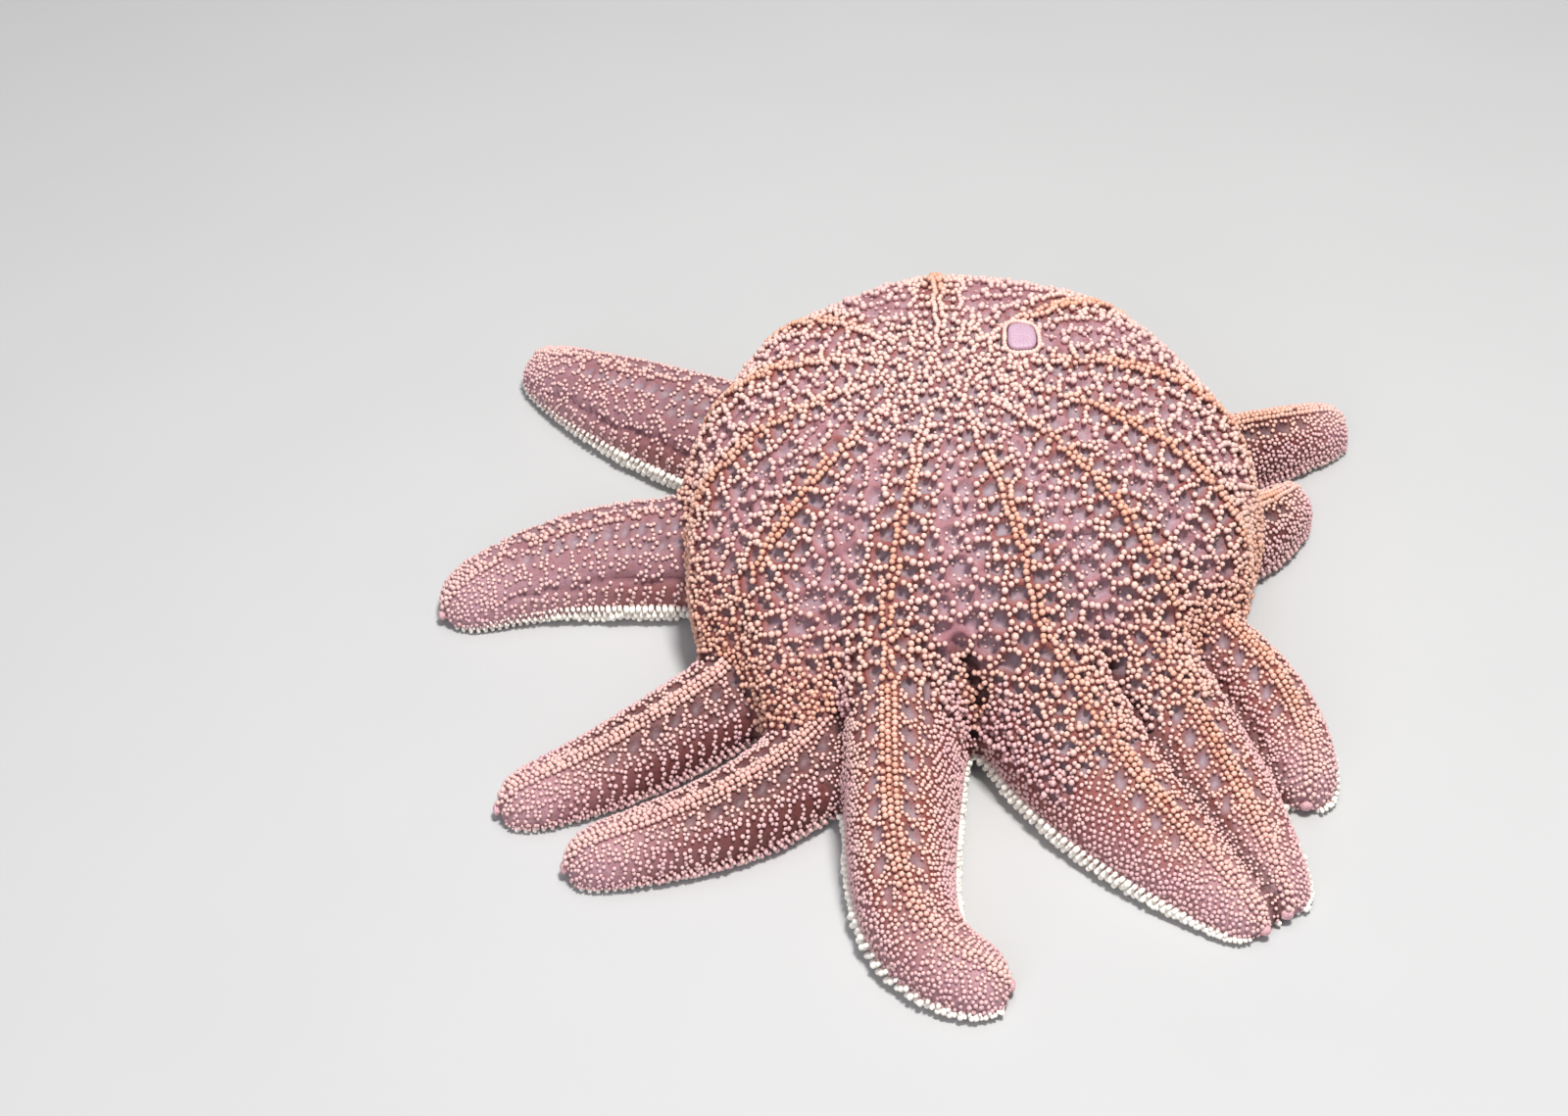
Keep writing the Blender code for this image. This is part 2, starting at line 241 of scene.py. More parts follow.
# Each arm: its number, bearings of its ridge over the dome, its foot, its way out and its tip, the
# tip's reach and heading, the curve's pull at each end, half widths, heights and traits
ARMS = (
    Arm(1, 140, 145, 145, 144.2, 110, 128, (28, 24), (13.5, 12.5, 6.5), (19, 17, 8),
        stretch=1.0, combed=0.58),
    Arm(2, 166, 184, 184, 189.0, 103, 213, (30, 26), (13.0, 11.8, 7.0), (18, 17, 8),
        stretch=1.0, combed=0.58),
    Arm(3, 192, 222, 222, 217.6, 110, 197, (28, 26), (9.5, 9.5, 6.5), (15, 12.5, 7),
        stretch=0.5, combed=0.46, tucked=True),
    Arm(4, 220, 245, 245, 227.4, 110, 195, (42, 30), (10.5, 9.5, 6.5), (14.5, 13.5, 7.5),
        stretch=0.4, combed=0.46, net=8.0, tucked=True),
    Arm(5, 250, 250, 268, 271.4, 107, 356, (52, 26), (12.5, 9.3, 8.3), (36, 18.5, 7),
        lean=-0.45, net=27.0, sparse=True),
    Arm(6, 281, 280, 284, 295.8, 106, 311, (28, 24), (12.5, 12.5, 5.5), (36, 18.5, 6.5),
        net=36.0),
    Arm(7, 310, 303, 303, 298.6, 105, 284, (26, 24), (11.0, 11.0, 6.0), (34, 17.5, 6.5),
        net=31.0),
    Arm(8, 338, 325, 325, 310.4, 88, 262, (22, 20), (9.0, 8.0, 6.0), (20, 16, 8), net=13.0),
    Arm(9, 367, 355, 355, 375.0, 70, 60, (14, 14), (8.5, 8.0, 5.5), (17, 14.5, 9), tucked=True),
    Arm(10, 408, 388, 388, 387.5, 91, 32, (20, 18), (8.5, 8.0, 6.5), (17, 15, 9), tucked=True),
    Arm(11, 456, 452, 452, 446.0, 89, 70, (20, 20), (11.0, 10.0, 6.0), (26, 16, 5), stretch=0.5),
)
FLESH_NODES = ("disc", *("arm_%d" % number for number in range(1, len(ARMS) + 1)))

# Skin
DROP_FROM = 100.0 * MM  # a level above the whole animal
LINE_STEP = 0.5 * MM  # between the points of a ridge line
NET_ROWS_START = 4.0 * MM  # from an arm's start to where the dome's ridges go on along it
RIDGE_START = 12.0 * MM  # from the crown to where the ridges start
RIDGE_SWAY = 0.3 * MM  # how far the ridges wander to either side
SLANT = 0.25  # how far an arm's rows run towards its tip for each step outwards
GAP_FILL = 0.25 * MM  # how far the solids swell so that the gaps between them close
SKIN_VOXEL = 1.45 * MM  # halved in the net zone and on top of the arms
SKIN_SMOOTHING = 7  # rounds that soften the creases between disc and arms
ARM_RELIEF = 0.85  # the relief on the arms, as a share of the dome's
MOST_PUSH = 2.5 * MM  # the furthest that a point of the skin is moved back out
STEEP_BELOW = 24.0 * MM  # below this the dome's meshes are wider than they are high
SQUEEZE = 0.6  # by how much of their height they are lower there
# Two marks paint shade: one sinks the skin in the furrows, creases and grooves and darkens it
# there, the other darkens the arms towards the dome, where the dome shades them
MARKS = ("ridge", "warm", "lilac", "blush", "open", "pore", "rosy", "fold", "dusky")
# Sunken patches down an arm, in columns to either side of its ridge: distance from the ridge, half
# width, and the share of the arm that the column runs down
PATCHES = ((3.5 * MM, 1.6 * MM, 0.9), (7.2 * MM, 1.4 * MM, 0.6), (10.4 * MM, 1.1 * MM, 0.35))
PATCHED = 8.5 * MM  # how far to either side of the ridge the skin's mesh is fine for them
# Distances from the middle of a furrow at which it ends to the full and altogether
FURROW = (0.4 * MM, 2.4 * MM)
FORK_FURROW = (0.4 * MM, 1.6 * MM)
GROOVE_WIDTH = 1.4 * MM  # of the grooves that run in to the mouth
FAINT_FOLD_AND_SHADE = 0.45  # how deep those grooves and the creases are sunk, and how dark the painted shade in them is
# Distances from the crown, and levels, between which one part of the dome passes into the next
CROWN_END = (12.0 * MM, 24.0 * MM)
RIDGES_RISE = (14.0 * MM, 34.0 * MM)
FOOT_START = (34.0 * MM, 14.0 * MM)
FORK_FLUSH = (1.0 * MM, 6.0 * MM)  # from the fork to the end of the flushed skin round it
UNDER_PLATE = 1.2  # the skin is plain up to this share of the sieve plate's size


def linear(code):
    """An sRGB hex colour as linear red, green and blue."""
    values = [int(code[start:start + 2], 16) / 255.0 for start in (1, 3, 5)]
    return tuple(value / 12.92 if value <= 0.04045 else ((value + 0.055) / 1.055) ** 2.4
                 for value in values)


def length(name, description, millimetres):
    """A length that a user can change."""
    return FloatProperty(name=name, description=description, default=millimetres * MM,
                         min=0.0, unit="LENGTH", precision=5)


def colour(name, description, code):
    """A colour that a user can change."""
    return FloatVectorProperty(name=name, description=description, default=linear(code),
                               min=0.0, max=1.0, size=3, subtype="COLOR")


class StarfishSizes(bpy.types.PropertyGroup):
    """Sizes of the coat of spines."""
    coat: length("Coat depth", "How far the skin lies inside the solids, under the spines", 0.9)
    mesh: length("Dome mesh", "Width of one mesh of the dome's net of spines", 4.0)
    crown_mesh: length("Crown mesh", "Width of one mesh of the net at the crown", 3.2)
    relief: length("Relief", "Height of the net's bars over its sunken meshes", 1.4)
    dome_spine: length("Dome spine", "Thickness of a blunt spine on the dome", 1.2)
    arm_spine: length("Arm spine", "Thickness of a spine on an arm's flank, at mid arm", 0.95)
    comb: length("Comb", "Distance between the cross rows on an arm, at mid arm", 1.1)
    fringe: length("Fringe", "Length of the pale spines along the arms' lower edges", 2.2)
    fringe_spine: length("Fringe spine", "Thickness of a spine of the fringe", 1.3)
    foot: length("Tube foot", "Thickness of a tube foot in the grooves", 0.9)


class StarfishColours(bpy.types.PropertyGroup):
    """Colours of the skin, spines and plates."""
    maroon: colour("Maroon", "Skin at the roots of the spines", "#8A463A")
    mauve: colour("Mauve", "Open skin on the arms", "#9C727A")
    grey: colour("Grey", "Skin over the breathing patches", "#96868E")
    lilac: colour("Lilac", "Skin on the lower flanks and tips", "#BC96A0")
    magenta: colour("Magenta", "Flushed skin in the folds", "#AC747E")
    cream: colour("Cream", "Heads of most spines", "#ECC8BA")
    orange: colour("Orange", "Heads of spines along the ridges", "#E4975C")
    pink: colour("Pink", "Heads of spines on the flanks and tips", "#E0B2B6")
    ivory: colour("Ivory", "The fringe of spines along the lower edges", "#FBF5EA")
    plate: colour("Plate", "The sieve plate", "#B89CAE")
    # Painted shade, laid on the skin in the furrows, creases and grooves and on the arms near the
    # dome
    shade: colour("Shade", "Skin deep in the furrows between arms", "#522C29")
    foot: colour("Tube feet", "The tube feet and the mouth", "#D9B48C")
    floor: colour("Floor", "The floor under the starfish", "#BEBEBD")


def sizes():
    """The sizes in use."""
    return bpy.context.scene.starfish_sizes


def colours():
    """The colours in use."""
    return bpy.context.scene.starfish_colours


# ---- surface


class Surface:
    """The finished skin: finds places on it, and hands out its marks."""

    def __init__(self, skin):
        mesh = skin.data
        self.points = read_points(mesh)
        mesh.calc_loop_triangles()
        self.triangles = read_values(mesh.loop_triangles, "vertices", 3, np.int32)
        self.tree = BVHTree.FromPolygons(self.points.tolist(), self.triangles.tolist())
        self.normals = read_normals(mesh)
        self.fields = {name: read_attribute(mesh, name)
                       for name in (*MARKS, "owner", "edge", "net")}

    def nearest(self, points, reach):
        """The nearest place on the skin for each point, its normal, and its triangle or -1."""
        spots = np.zeros((len(points), 3))
        found = np.full(len(points), -1)
        for index, point in enumerate(points):
            spot, _, triangle, _ = self.tree.find_nearest(point, reach)
            if spot is not None:
                spots[index] = spot
                found[index] = triangle
        return spots, unit(self.normals[self.triangles[found]].mean(axis=1)), found

    def read(self, name, found):
        """A field's value at triangles."""
        return self.fields[name][self.triangles[found]].mean(axis=1)

    def belongs(self, number, found):
        """Which of the triangles found are on one arm, or on the disc for 0."""
        return (found >= 0) & (np.abs(self.read("owner", found) - number) < 0.3)


def read_values(items, name, each, kind=np.float32):
    """One of the values of a mesh's items: a row for each item."""
    values = np.empty(len(items) * each, kind)
    items.foreach_get(name, values)
    return values.reshape(-1, each)


def read_points(mesh):
    """A mesh's points."""
    return read_values(mesh.vertices, "co", 3).astype(float)


def read_normals(mesh):
    """A mesh's point normals."""
    return read_values(mesh.vertex_normals, "vector", 3).astype(float)


def read_attribute(mesh, name):
    """One number for each point."""
    return read_values(mesh.attributes[name].data, "value", 1)[:, 0].astype(float)


def write_attribute(mesh, name, values):
    """Store one number for each point."""
    attribute = mesh.attributes.get(name) or mesh.attributes.new(name, "FLOAT", "POINT")
    attribute.data.foreach_set("value", np.ascontiguousarray(values, np.float32))


@lru_cache(maxsize=1)
def surface():
    """The skin that the other pieces stand on."""
    skin = bpy.data.objects.get("skin")
    if skin is None:
        raise RuntimeError("the skin has to be made before what stands on it")
    return Surface(skin)


def thin_out(points, spacing):
    """Which of the points keep their distance from all kept before them, as a list of indices."""
    cell = float(np.max(spacing))
    grid = {}
    kept = []
    for index, (point, room) in enumerate(zip(points.tolist(), spacing.tolist())):
        home = tuple(int(value // cell) for value in point)
        near = [other for dx in (-1, 0, 1) for dy in (-1, 0, 1) for dz in (-1, 0, 1)
                for other in grid.get((home[0] + dx, home[1] + dy, home[2] + dz), ())]
        if all((point[0] - x) ** 2 + (point[1] - y) ** 2 + (point[2] - z) ** 2
               >= (0.5 * (room + other_room)) ** 2 for x, y, z, other_room in near):
            grid.setdefault(home, []).append((*point, room))
            kept.append(index)
    return kept


def ridge_ways():
    """Each arm's ridge over the dome: its level direction from the crown, and its level length."""
    ends = np.array([DISC_AT + towards(arm.crest) * DOME_RADIUS - CROWN_AT for arm in ARMS])
    return list(zip(unit(ends), np.linalg.norm(ends, axis=1)))


def drop(tree, points):
    """Points moved straight down on to a surface."""
    landed = []
    for point in points:
        spot = tree.ray_cast(Vector((point[0], point[1], DROP_FROM)), Vector(DOWN))[0]
        if spot is not None:
            landed.append(spot)
    return np.array(landed).reshape(-1, 3)


def ridge_rows(tree, offset, every):
    """Two staggered rows of places along each ridge, at a distance to either side of it."""
    hands = ((-1.0, 0.0), (1.0, 0.5 * every))
    rows = []
    for way, reach in ridge_ways():
        path = drop(tree, CROWN_AT + np.arange(RIDGE_START, reach, LINE_STEP)[:, None] * way)
        run = distances(path)
        side = np.array([way[1], -way[0], 0.0])
        for hand, start in hands:
            steps = np.arange(start, run[-1], every)
            sway = np.sin(steps / (2.3 * MM) + 9.0 * way[0]) + 0.7 * np.sin(steps / (1.1 * MM))
            out = hand * offset + RIDGE_SWAY * sway
            rows.append(read_path(steps, run, path) + side * out[:, None])
    for arm in ARMS:
        for hand, start in hands:
            steps = np.arange(start + NET_ROWS_START, arm.net, every)
            rows.append(arm.place(steps, np.full(len(steps), hand * offset)))
    return np.concatenate(rows)


# ---- skin


def swollen_flesh():
    """One mesh of all the flesh solids, each a little swollen so that they run together."""
    form = bmesh.new()
    for node in FLESH_NODES:
        part = bmesh.new()
        part.from_mesh(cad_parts[node].data)
        bmesh.ops.remove_doubles(part, verts=part.verts[:], dist=0.001 * MM)
        bmesh.ops.recalc_face_normals(part, faces=part.faces[:])
        part.normal_update()
        for point in part.verts:
            point.co += point.normal * GAP_FILL
        mesh = bpy.data.meshes.new("swollen")
        part.to_mesh(mesh)
        part.free()
        form.from_mesh(mesh)
        bpy.data.meshes.remove(mesh)
    mesh = bpy.data.meshes.new("skin")
    form.to_mesh(mesh)
    form.free()
    return mesh


def add_modifier(piece, kind, **settings):
    """Add a modifier and set it."""
    modifier = piece.modifiers.new(kind.lower(), kind)
    for name, value in settings.items():
        setattr(modifier, name, value)


def bake_modifiers(piece):
    """Turn a piece's modifiers into plain mesh."""
    bpy.context.view_layer.update()
    evaluated = piece.evaluated_get(bpy.context.evaluated_depsgraph_get())
    mesh = bpy.data.meshes.new_from_object(evaluated)
    old = piece.data
    piece.modifiers.clear()
    piece.data = mesh
    bpy.data.meshes.remove(old)
    mesh.name = piece.name


@lru_cache(maxsize=1)
def flesh_tree():
    """The faces of all the flesh solids, for searching, and the number of each face's solid."""
    corners = []
    faces = []
    numbers = []
    for number, node in enumerate(FLESH_NODES):
        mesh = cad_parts[node].data
        start = len(corners)
        corners.extend(tuple(vertex.co) for vertex in mesh.vertices)
        faces.extend([start + index for index in face.vertices] for face in mesh.polygons)
        numbers.extend([number] * len(mesh.polygons))
    return BVHTree.FromPolygons(corners, faces), numbers


def owners(points):
    """Which solid each point belongs to: 0 for the disc, or the arm's number."""
    tree, numbers = flesh_tree()
    return np.array([numbers[tree.find_nearest(point)[2]] for point in points])


def in_vault(points):
    """Which points lie in the hollow under the disc."""
    return (points[:, 2] < VAULT_TOP) & (in_plan(points, DISC_AT) < VAULT_RADIUS)


def net_zone(points, owner):
    """Where the dome's net runs: 1 on the dome and the first part of the arms that join it."""
    zone = ((owner == 0) & (points[:, 2] > RIM_LEVEL) & ~in_vault(points)).astype(float)
    for arm in ARMS:
        mine = owner == arm.number
        along = arm.locate(points[mine])[0]
        zone[mine] = (along < arm.net) & (arm.net > 0.0) & (points[mine, 2] > 2.0 * RIM_LEVEL)
    return zone


def squeezed(points):
    """Points with their levels spread low down on the dome, so that meshes come out lower there."""
    spread = points.copy()
    spread[:, 2] += SQUEEZE * np.minimum(points[:, 2] - STEEP_BELOW, 0.0)
    return spread


def net_centres(points, zone, tree):
    """The middles of the net's meshes: staggered rows beside the ridges first, then the rest."""
    size = sizes()
    rows = ridge_rows(tree, 0.56 * size.mesh, 0.98 * size.mesh)
    rng = np.random.default_rng(SEED)
    rest = points[zone > 0.5]
    rest = rest[rng.permutation(len(rest))]
    centres = np.concatenate([rows, rest])
    far = in_plan(centres, CROWN_AT)
    room = np.interp(far, (8.0 * MM, 20.0 * MM), (size.crown_mesh, size.mesh))
    room *= np.interp(centres[:, 2], (12.0 * MM, 24.0 * MM), (0.85, 1.0))
    room *= rng.triangular(0.65, 0.85, 1.5, len(centres))
    room[:len(rows)] = 0.8 * size.mesh
    return centres[thin_out(squeezed(centres), room)]


def search_tree(points):
    """A tree that finds the nearest of some points."""
    tree = KDTree(len(points))
    for index, point in enumerate(points):
        tree.insert(point, index)
    tree.balance()
    return tree


def net_edge(points, centres):
    """How far a point is from being halfway between two meshes: 0 on the net's bars."""
    tree = search_tree(squeezed(centres))
    edge = np.empty(len(points))
    for index, point in enumerate(squeezed(points)):
        (_, _, first), (_, _, second) = tree.find_n(point, 2)
        edge[index] = second - first
    return edge


def arm_pores(arm, along, across):
    """Sunken patches in columns down an arm, fading out towards its tip."""
    pitch = (3.0 if arm.creased else 4.0) * sizes().comb
    strength = np.zeros(len(along))
    for column, (centre, wide, reach) in enumerate(PATCHES):
        phase = (along - SLANT * np.abs(across) + 0.5 * pitch * (column % 2)) / pitch
        gap = (phase - np.round(phase)) * pitch
        spread = ((np.abs(across) - centre) / wide) ** 2 + (gap / (0.35 * pitch)) ** 2
        fade = smooth(reach - along / arm.length, 0.0, 0.3)
        strength = np.maximum(strength, np.exp(-spread ** 1.5) * fade)
    return strength


def mark_dome(points, edge):
    """The markings of the net zone: its ridges, flush between them, and sunken meshes."""
    offset = points - CROWN_AT
    far = in_plan(points, CROWN_AT)
    ridge = np.full(len(points), 1.0)
    between = np.full(len(points), 1.0)
    for way, _ in ridge_ways():
        beside = np.where(offset @ way > 0.0, np.abs(rightward(offset, way)), 1.0)
        ridge = np.minimum(ridge, beside)
        between = np.minimum(between, beside / np.maximum(far, 1.0 * MM))
    outer = smooth(far, *CROWN_END)
    low = smooth(points[:, 2], *FOOT_START)
    gap = smooth(between, 0.10, 0.22) * outer * (1.0 - low)
    return {
        "ridge": np.exp(-(ridge / (1.7 * MM)) ** 2) * smooth(far, *RIDGES_RISE),
        "warm": low,
        "lilac": 0.22 * gap,
        "blush": 0.25 * gap,
        "open": 0.2 + 0.35 * (1.0 - outer) + 0.5 * gap,
        "pore": smooth(edge, 1.0 * MM, 2.1 * MM) * (1.0 - 0.35 * low),
        "rosy": 0.6 * gap,
    }


def mark_arm(arm, points, edge, net):
    """The markings of one arm, from its ridge to its lower edges and from its root to its tip."""
    stretch = arm.stretch
    along, across, half = arm.locate(points)
    down = np.abs(across) / half
    share = along / arm.length
    # Painted shade: each arm is darkened towards its root, where the dome shades it; the tucked
    # arms most and furthest out
    if arm.tucked:
        dusky = 0.75 * (1.0 - smooth(share, 0.6, 0.9))
        paler = smooth(share, 0.6, 0.95)
    else:
        dusky = 0.3 * (1.0 - smooth(share, 0.2, 0.6))
        paler = smooth(share, 0.35, 0.8)
    low = smooth(down, 0.5, 0.62 if arm.creased else 0.8)
    warm = (1.0 - smooth(down, 0.12, 0.4)) * (1.0 - smooth(share, 0.6, 0.95))
    warm *= 0.5 - 0.35 * stretch
    glow = 0.8 - 0.6 * min(1.0, 1.4 * stretch)
    winding = 0.54 + 0.02 * np.sin(along / (3.1 * MM)) + 0.012 * np.sin(along / (1.3 * MM))
    crease = arm.creased * np.exp(-((down - winding) / 0.022) ** 2)
    crease *= 1.0 - smooth(share, 0.75, 0.9)
    flank = smooth(down, 0.25, 0.6) * (0.05 + 0.2 * arm.creased + 0.65 * paler)
    rosy_flank = smooth(down, 0.16, 0.42) * (0.7 if arm.creased else 1.0)
    rosy_tip = smooth(share, 0.6, 0.85) * (0.4 + 0.6 * smooth(down, 0.2, 0.5))
    ridge = np.exp(-(across / (1.9 * MM)) ** 2) * (1.0 - smooth(share, 0.6, 1.0))
    return {
        "ridge": 1.2 * glow * ridge,
        "warm": warm,
        "lilac": np.maximum(flank, smooth(share, 0.7, 0.95)),
        "blush": crease,
        "open": (0.15 + 0.8 * stretch ** 2 * (1.0 - low)) * (1.0 - 0.4 * warm),
        "pore": np.where(net > 0.5, smooth(edge, 0.8 * MM, 2.0 * MM),
                         arm_pores(arm, along, across)),
        "rosy": np.maximum(np.maximum(rosy_flank, rosy_tip), 0.5 if stretch else 0.0),
        # The crease is sunk and darkened with painted shade
        "fold": FAINT_FOLD_AND_SHADE * crease,
        "dusky": dusky,
    }


def mark_skin(points, owner, edge, net):
    """The markings: how much of each colour stands at each point of the skin."""
    marks = {name: np.zeros(len(points)) for name in MARKS}
    for arm in (None, *ARMS):
        mine = owner == (arm.number if arm else 0)
        found = (mark_arm(arm, points[mine], edge[mine], net[mine]) if arm
                 else mark_dome(points[mine], edge[mine]))
        for name, values in found.items():
            marks[name][mine] = values
    # The grooves that run in to the mouth are sunk and darkened with painted shade
    hollow = in_vault(points)
    offset = points[hollow] - DISC_AT
    for arm in ARMS:
        way = towards(arm.foot)
        beside = np.where(offset @ way > 0.0, rightward(offset, way), 1.0)
        groove = FAINT_FOLD_AND_SHADE * np.exp(-(beside / GROOVE_WIDTH) ** 2)
        marks["fold"][hollow] = np.maximum(marks["fold"][hollow], groove)
    flush = 0.8 - 0.8 * smooth(np.linalg.norm(points - FORK_AT, axis=1), *FORK_FLUSH)
    marks["blush"] = np.maximum(marks["blush"], flush)
    under_plate = near_sieve_plate(points, UNDER_PLATE)
    for values in marks.values():
        values[under_plate] = 0.0
    return marks


def regain_depth(points, normals, depth):
    """Move points that smoothing has drawn deep into the solids back out to a depth."""
    tree, _ = flesh_tree()
    push = np.zeros(len(points))
    for index, point in enumerate(points):
        spot, outward, _, gap = tree.find_nearest(point)
        if (spot - Vector(point)).dot(outward) > 0.0:
            push[index] = gap - depth
    return points + normals * np.clip(push, 0.0, MOST_PUSH)[:, None]


def furrows(mesh, points, owner):
    """How near points are to a furrow between two arms that lie side by side: 1 down in it."""
    ends = read_values(mesh.edges, "vertices", 2, np.int32)
    pairs = owner[ends]
    seam = points[ends[(pairs.min(axis=1) > 0) & (pairs[:, 0] != pairs[:, 1])]].mean(axis=1)
    tree = search_tree(seam)
    away = np.array([tree.find(point)[2] for point in points])
    return 1.0 - smooth(away, *FURROW)


def fork_furrow(points):
    """How near points are to the furrow that runs down from the fork between arms 5 and 6."""
    way = (FORK_END - FORK_AT) * np.array([1.0, 1.0, 0.0])
    reach = np.linalg.norm(way)
    way /= reach
    offset = points - FORK_AT
    ahead = offset @ way
    below = smooth(-offset[:, 2], 1.0 * MM, 5.0 * MM) * smooth(ahead, -5.0 * MM, -2.0 * MM)
    before_end = 1.0 - smooth(ahead, reach, reach + 3.0 * MM)
    return below * before_end * (1.0 - smooth(np.abs(rightward(offset, way)), *FORK_FURROW))


def patched(points, owner):
    """The part of the arms that has sunken patches: 1 along their tops."""
    zone = np.zeros(len(points))
    for arm in ARMS:
        mine = owner == arm.number
        along, across, _ = arm.locate(points[mine])
        zone[mine] = (np.abs(across) < PATCHED) & (along < 0.9 * arm.length)
    return zone


def refine(mesh, zone):
    """Halve the faces inside a zone."""
    form = bmesh.new()
    form.from_mesh(mesh)
    form.verts.ensure_lookup_table()
    edges = [edge for edge in form.edges if all(zone[point.index] > 0.5 for point in edge.verts)]
    bmesh.ops.subdivide_edges(form, edges=edges, cuts=1, use_grid_fill=True)
    form.to_mesh(mesh)
    form.free()


def make_skin():
    """The one skin over the disc and arms, inside the solids by the coat's depth."""
    size = sizes()
    skin = add_piece("skin", swollen_flesh())
    add_modifier(skin, "REMESH", mode="VOXEL", voxel_size=SKIN_VOXEL)
    add_modifier(skin, "SMOOTH", factor=0.5, iterations=SKIN_SMOOTHING)
    add_modifier(skin, "DISPLACE", mid_level=0.0, strength=-size.coat)
    bake_modifiers(skin)
    points = regain_depth(read_points(skin.data), read_normals(skin.data), size.coat)
    skin.data.vertices.foreach_set("co", points.ravel())
    owner = owners(points)
    refine(skin.data, np.maximum(net_zone(points, owner), patched(points, owner)))
    add_modifier(skin, "SMOOTH", factor=0.5, iterations=4)
    bake_modifiers(skin)
    mesh = skin.data
    points = read_points(mesh)
    normals = read_normals(mesh)
    owner = owners(points)
    net = net_zone(points, owner)
    tree = BVHTree.FromPolygons(points.tolist(), [face.vertices[:] for face in mesh.polygons])
    edge = np.full(len(points), 1.0)
    netted = net > 0.5
    edge[netted] = net_edge(points[netted], net_centres(points, net, tree))
    marks = mark_skin(points, owner, edge, net)
    # Painted shade: the furrows between arms and below the fork are sunk and darkened, and lose
    # their open mauve
    deep = np.maximum(furrows(mesh, points, owner), fork_furrow(points))
    marks["fold"] = np.maximum(marks["fold"], deep)
    marks["open"] *= 1.0 - marks["fold"]
    # The relief fades out towards the floor, and its meshes are deeper low down on the dome
    upper = smooth(points[:, 2], 3.0 * MM, 8.0 * MM)
    deeper = 1.0 + 0.9 * marks["warm"] * (owner == 0)
    lift = 0.2 + 0.2 * net + 0.35 * marks["ridge"] - marks["pore"] * deeper
    lift -= 0.5 * marks["blush"] * (owner > 0) + 0.9 * marks["fold"]
    points += normals * (lift * upper * size.relief * np.where(net > 0.5, 1.0, ARM_RELIEF))[:, None]
    mesh.vertices.foreach_set("co", points.ravel())
    for name, values in {**marks, "owner": owner, "edge": edge, "net": net}.items():
        write_attribute(mesh, name, values)
    mesh.shade_smooth()
    mesh.update()
    return skin


# ---- spines

# Outlines of spines from root to shoulder, as shares of height and of thickness
BEAD = ((-0.35, 0.66), (0.45, 1.0), (0.86, 0.72))
PEG = ((-0.20, 0.80), (0.50, 1.0), (0.88, 0.80))
SUCKER = ((-0.15, 0.60), (0.70, 0.50), (0.92, 1.0))
PATCH = 0.003  # width of one spine's patch on the unwrap
RING_REACH = 1.25  # from the sieve plate's middle to the ring, in shares of its size
RING_SPINES = 34  # spines round the sieve plate
RING_EDGE = 1.45  # no other spines stand up to here, in the same shares
BAR_WIDTH = 0.62  # how wide the net's chains are, in millimetres from a bar's middle
FORK_RADIUS = 1.6 * MM  # of the bare place at the fork
ROOMS = (0.75, 0.93)  # spacing in the ridges' rows and the chains, in thicknesses
# Rows of the fringe, downwards: outward and level in shares of the section, slope and length
FRINGE_ROWS = ((1.0, 0.28, -0.10, 0.75), (0.98, 0.16, -0.12, 0.95), (0.94, 0.05, -0.08, 1.0))
FRINGE_PITCH = 1.3 * MM
FRINGE_HEIGHT = 15.0 * MM  # arms higher than this have their fringe no higher up
FRINGE_LOWEST = 0.9 * MM
BAND_SPINE = 1.15  # thickness of the spines in an arm's ridge band and on its flanks
FLANK_SPINE = 0.9
BAND_LOOSE = 0.05 * MM  # how far they stand off their rows
FLANK_LOOSE = 0.17 * MM
SOLE_ROWS = (0.36, 0.52, 0.68, 0.84)  # outward, in shares of the arm's half width
SOLE_PITCH = 1.5 * MM
SOLE_REACH = (0.3 * MM, 2.0 * MM)  # the shortest and longest spine of a sole
FEET_ROWS = 4
FEET_PITCH = 2.1 * MM
FEET_REACH = (0.6 * MM, 9.0 * MM)
BEFORE = 26.0 * MM  # how far an arm's soles and groove run in under the disc
UNWRAP_LEVEL = 13.0 * MM  # the dome's unwrap is drawn from here under the crown
UNWRAP_FALL = 135.0  # down to this many degrees from straight up
UNWRAPPED = 1.45  # half the girth of the unwrap of an arm, in shares of its flank
BRISTLE = 0.12  # how unevenly spines and tube feet stand
NET_CLUMP = 1.5 * MM  # size of the clumps that the net and the rows are broken up into
ARM_CLUMP = 1.7 * MM


class Spines:
    """Many small spines: their roots, directions, thicknesses and heights, the skin's triangles
    that they stand on, and their places on the unwrap."""

    def __init__(self, roots, ways, thick, tall, found, unwrap):
        count = len(roots)
        self.fields = (roots, unit(ways), np.broadcast_to(thick, count),
                       np.broadcast_to(tall, count), found, unwrap)

    def take(self, chosen):
        """Some of the spines."""
        return Spines(*(values[chosen] for values in self.fields))


def join_spines(batches):
    """Several lots of spines as one."""
    return Spines(*(np.concatenate(fields) for fields in zip(*(batch.fields for batch in batches))))


def ring_loops(rings, sides):
    """The faces of one spine as a run of point numbers, and how many points each has: quads up its
    sides, a fan over its head, and its root."""
    around = np.arange(sides)
    after = (around + 1) % sides
    belt = np.stack([around, after, sides + after, sides + around], 1)
    quads = np.concatenate([belt + lower * sides for lower in range(rings - 1)])
    top = (rings - 1) * sides
    fan = np.stack([top + around, top + after, np.full(sides, rings * sides)], 1)
    pattern = np.concatenate([quads.ravel(), fan.ravel(), around[::-1]])
    return pattern, [4] * len(quads) + [3] * sides + [sides]


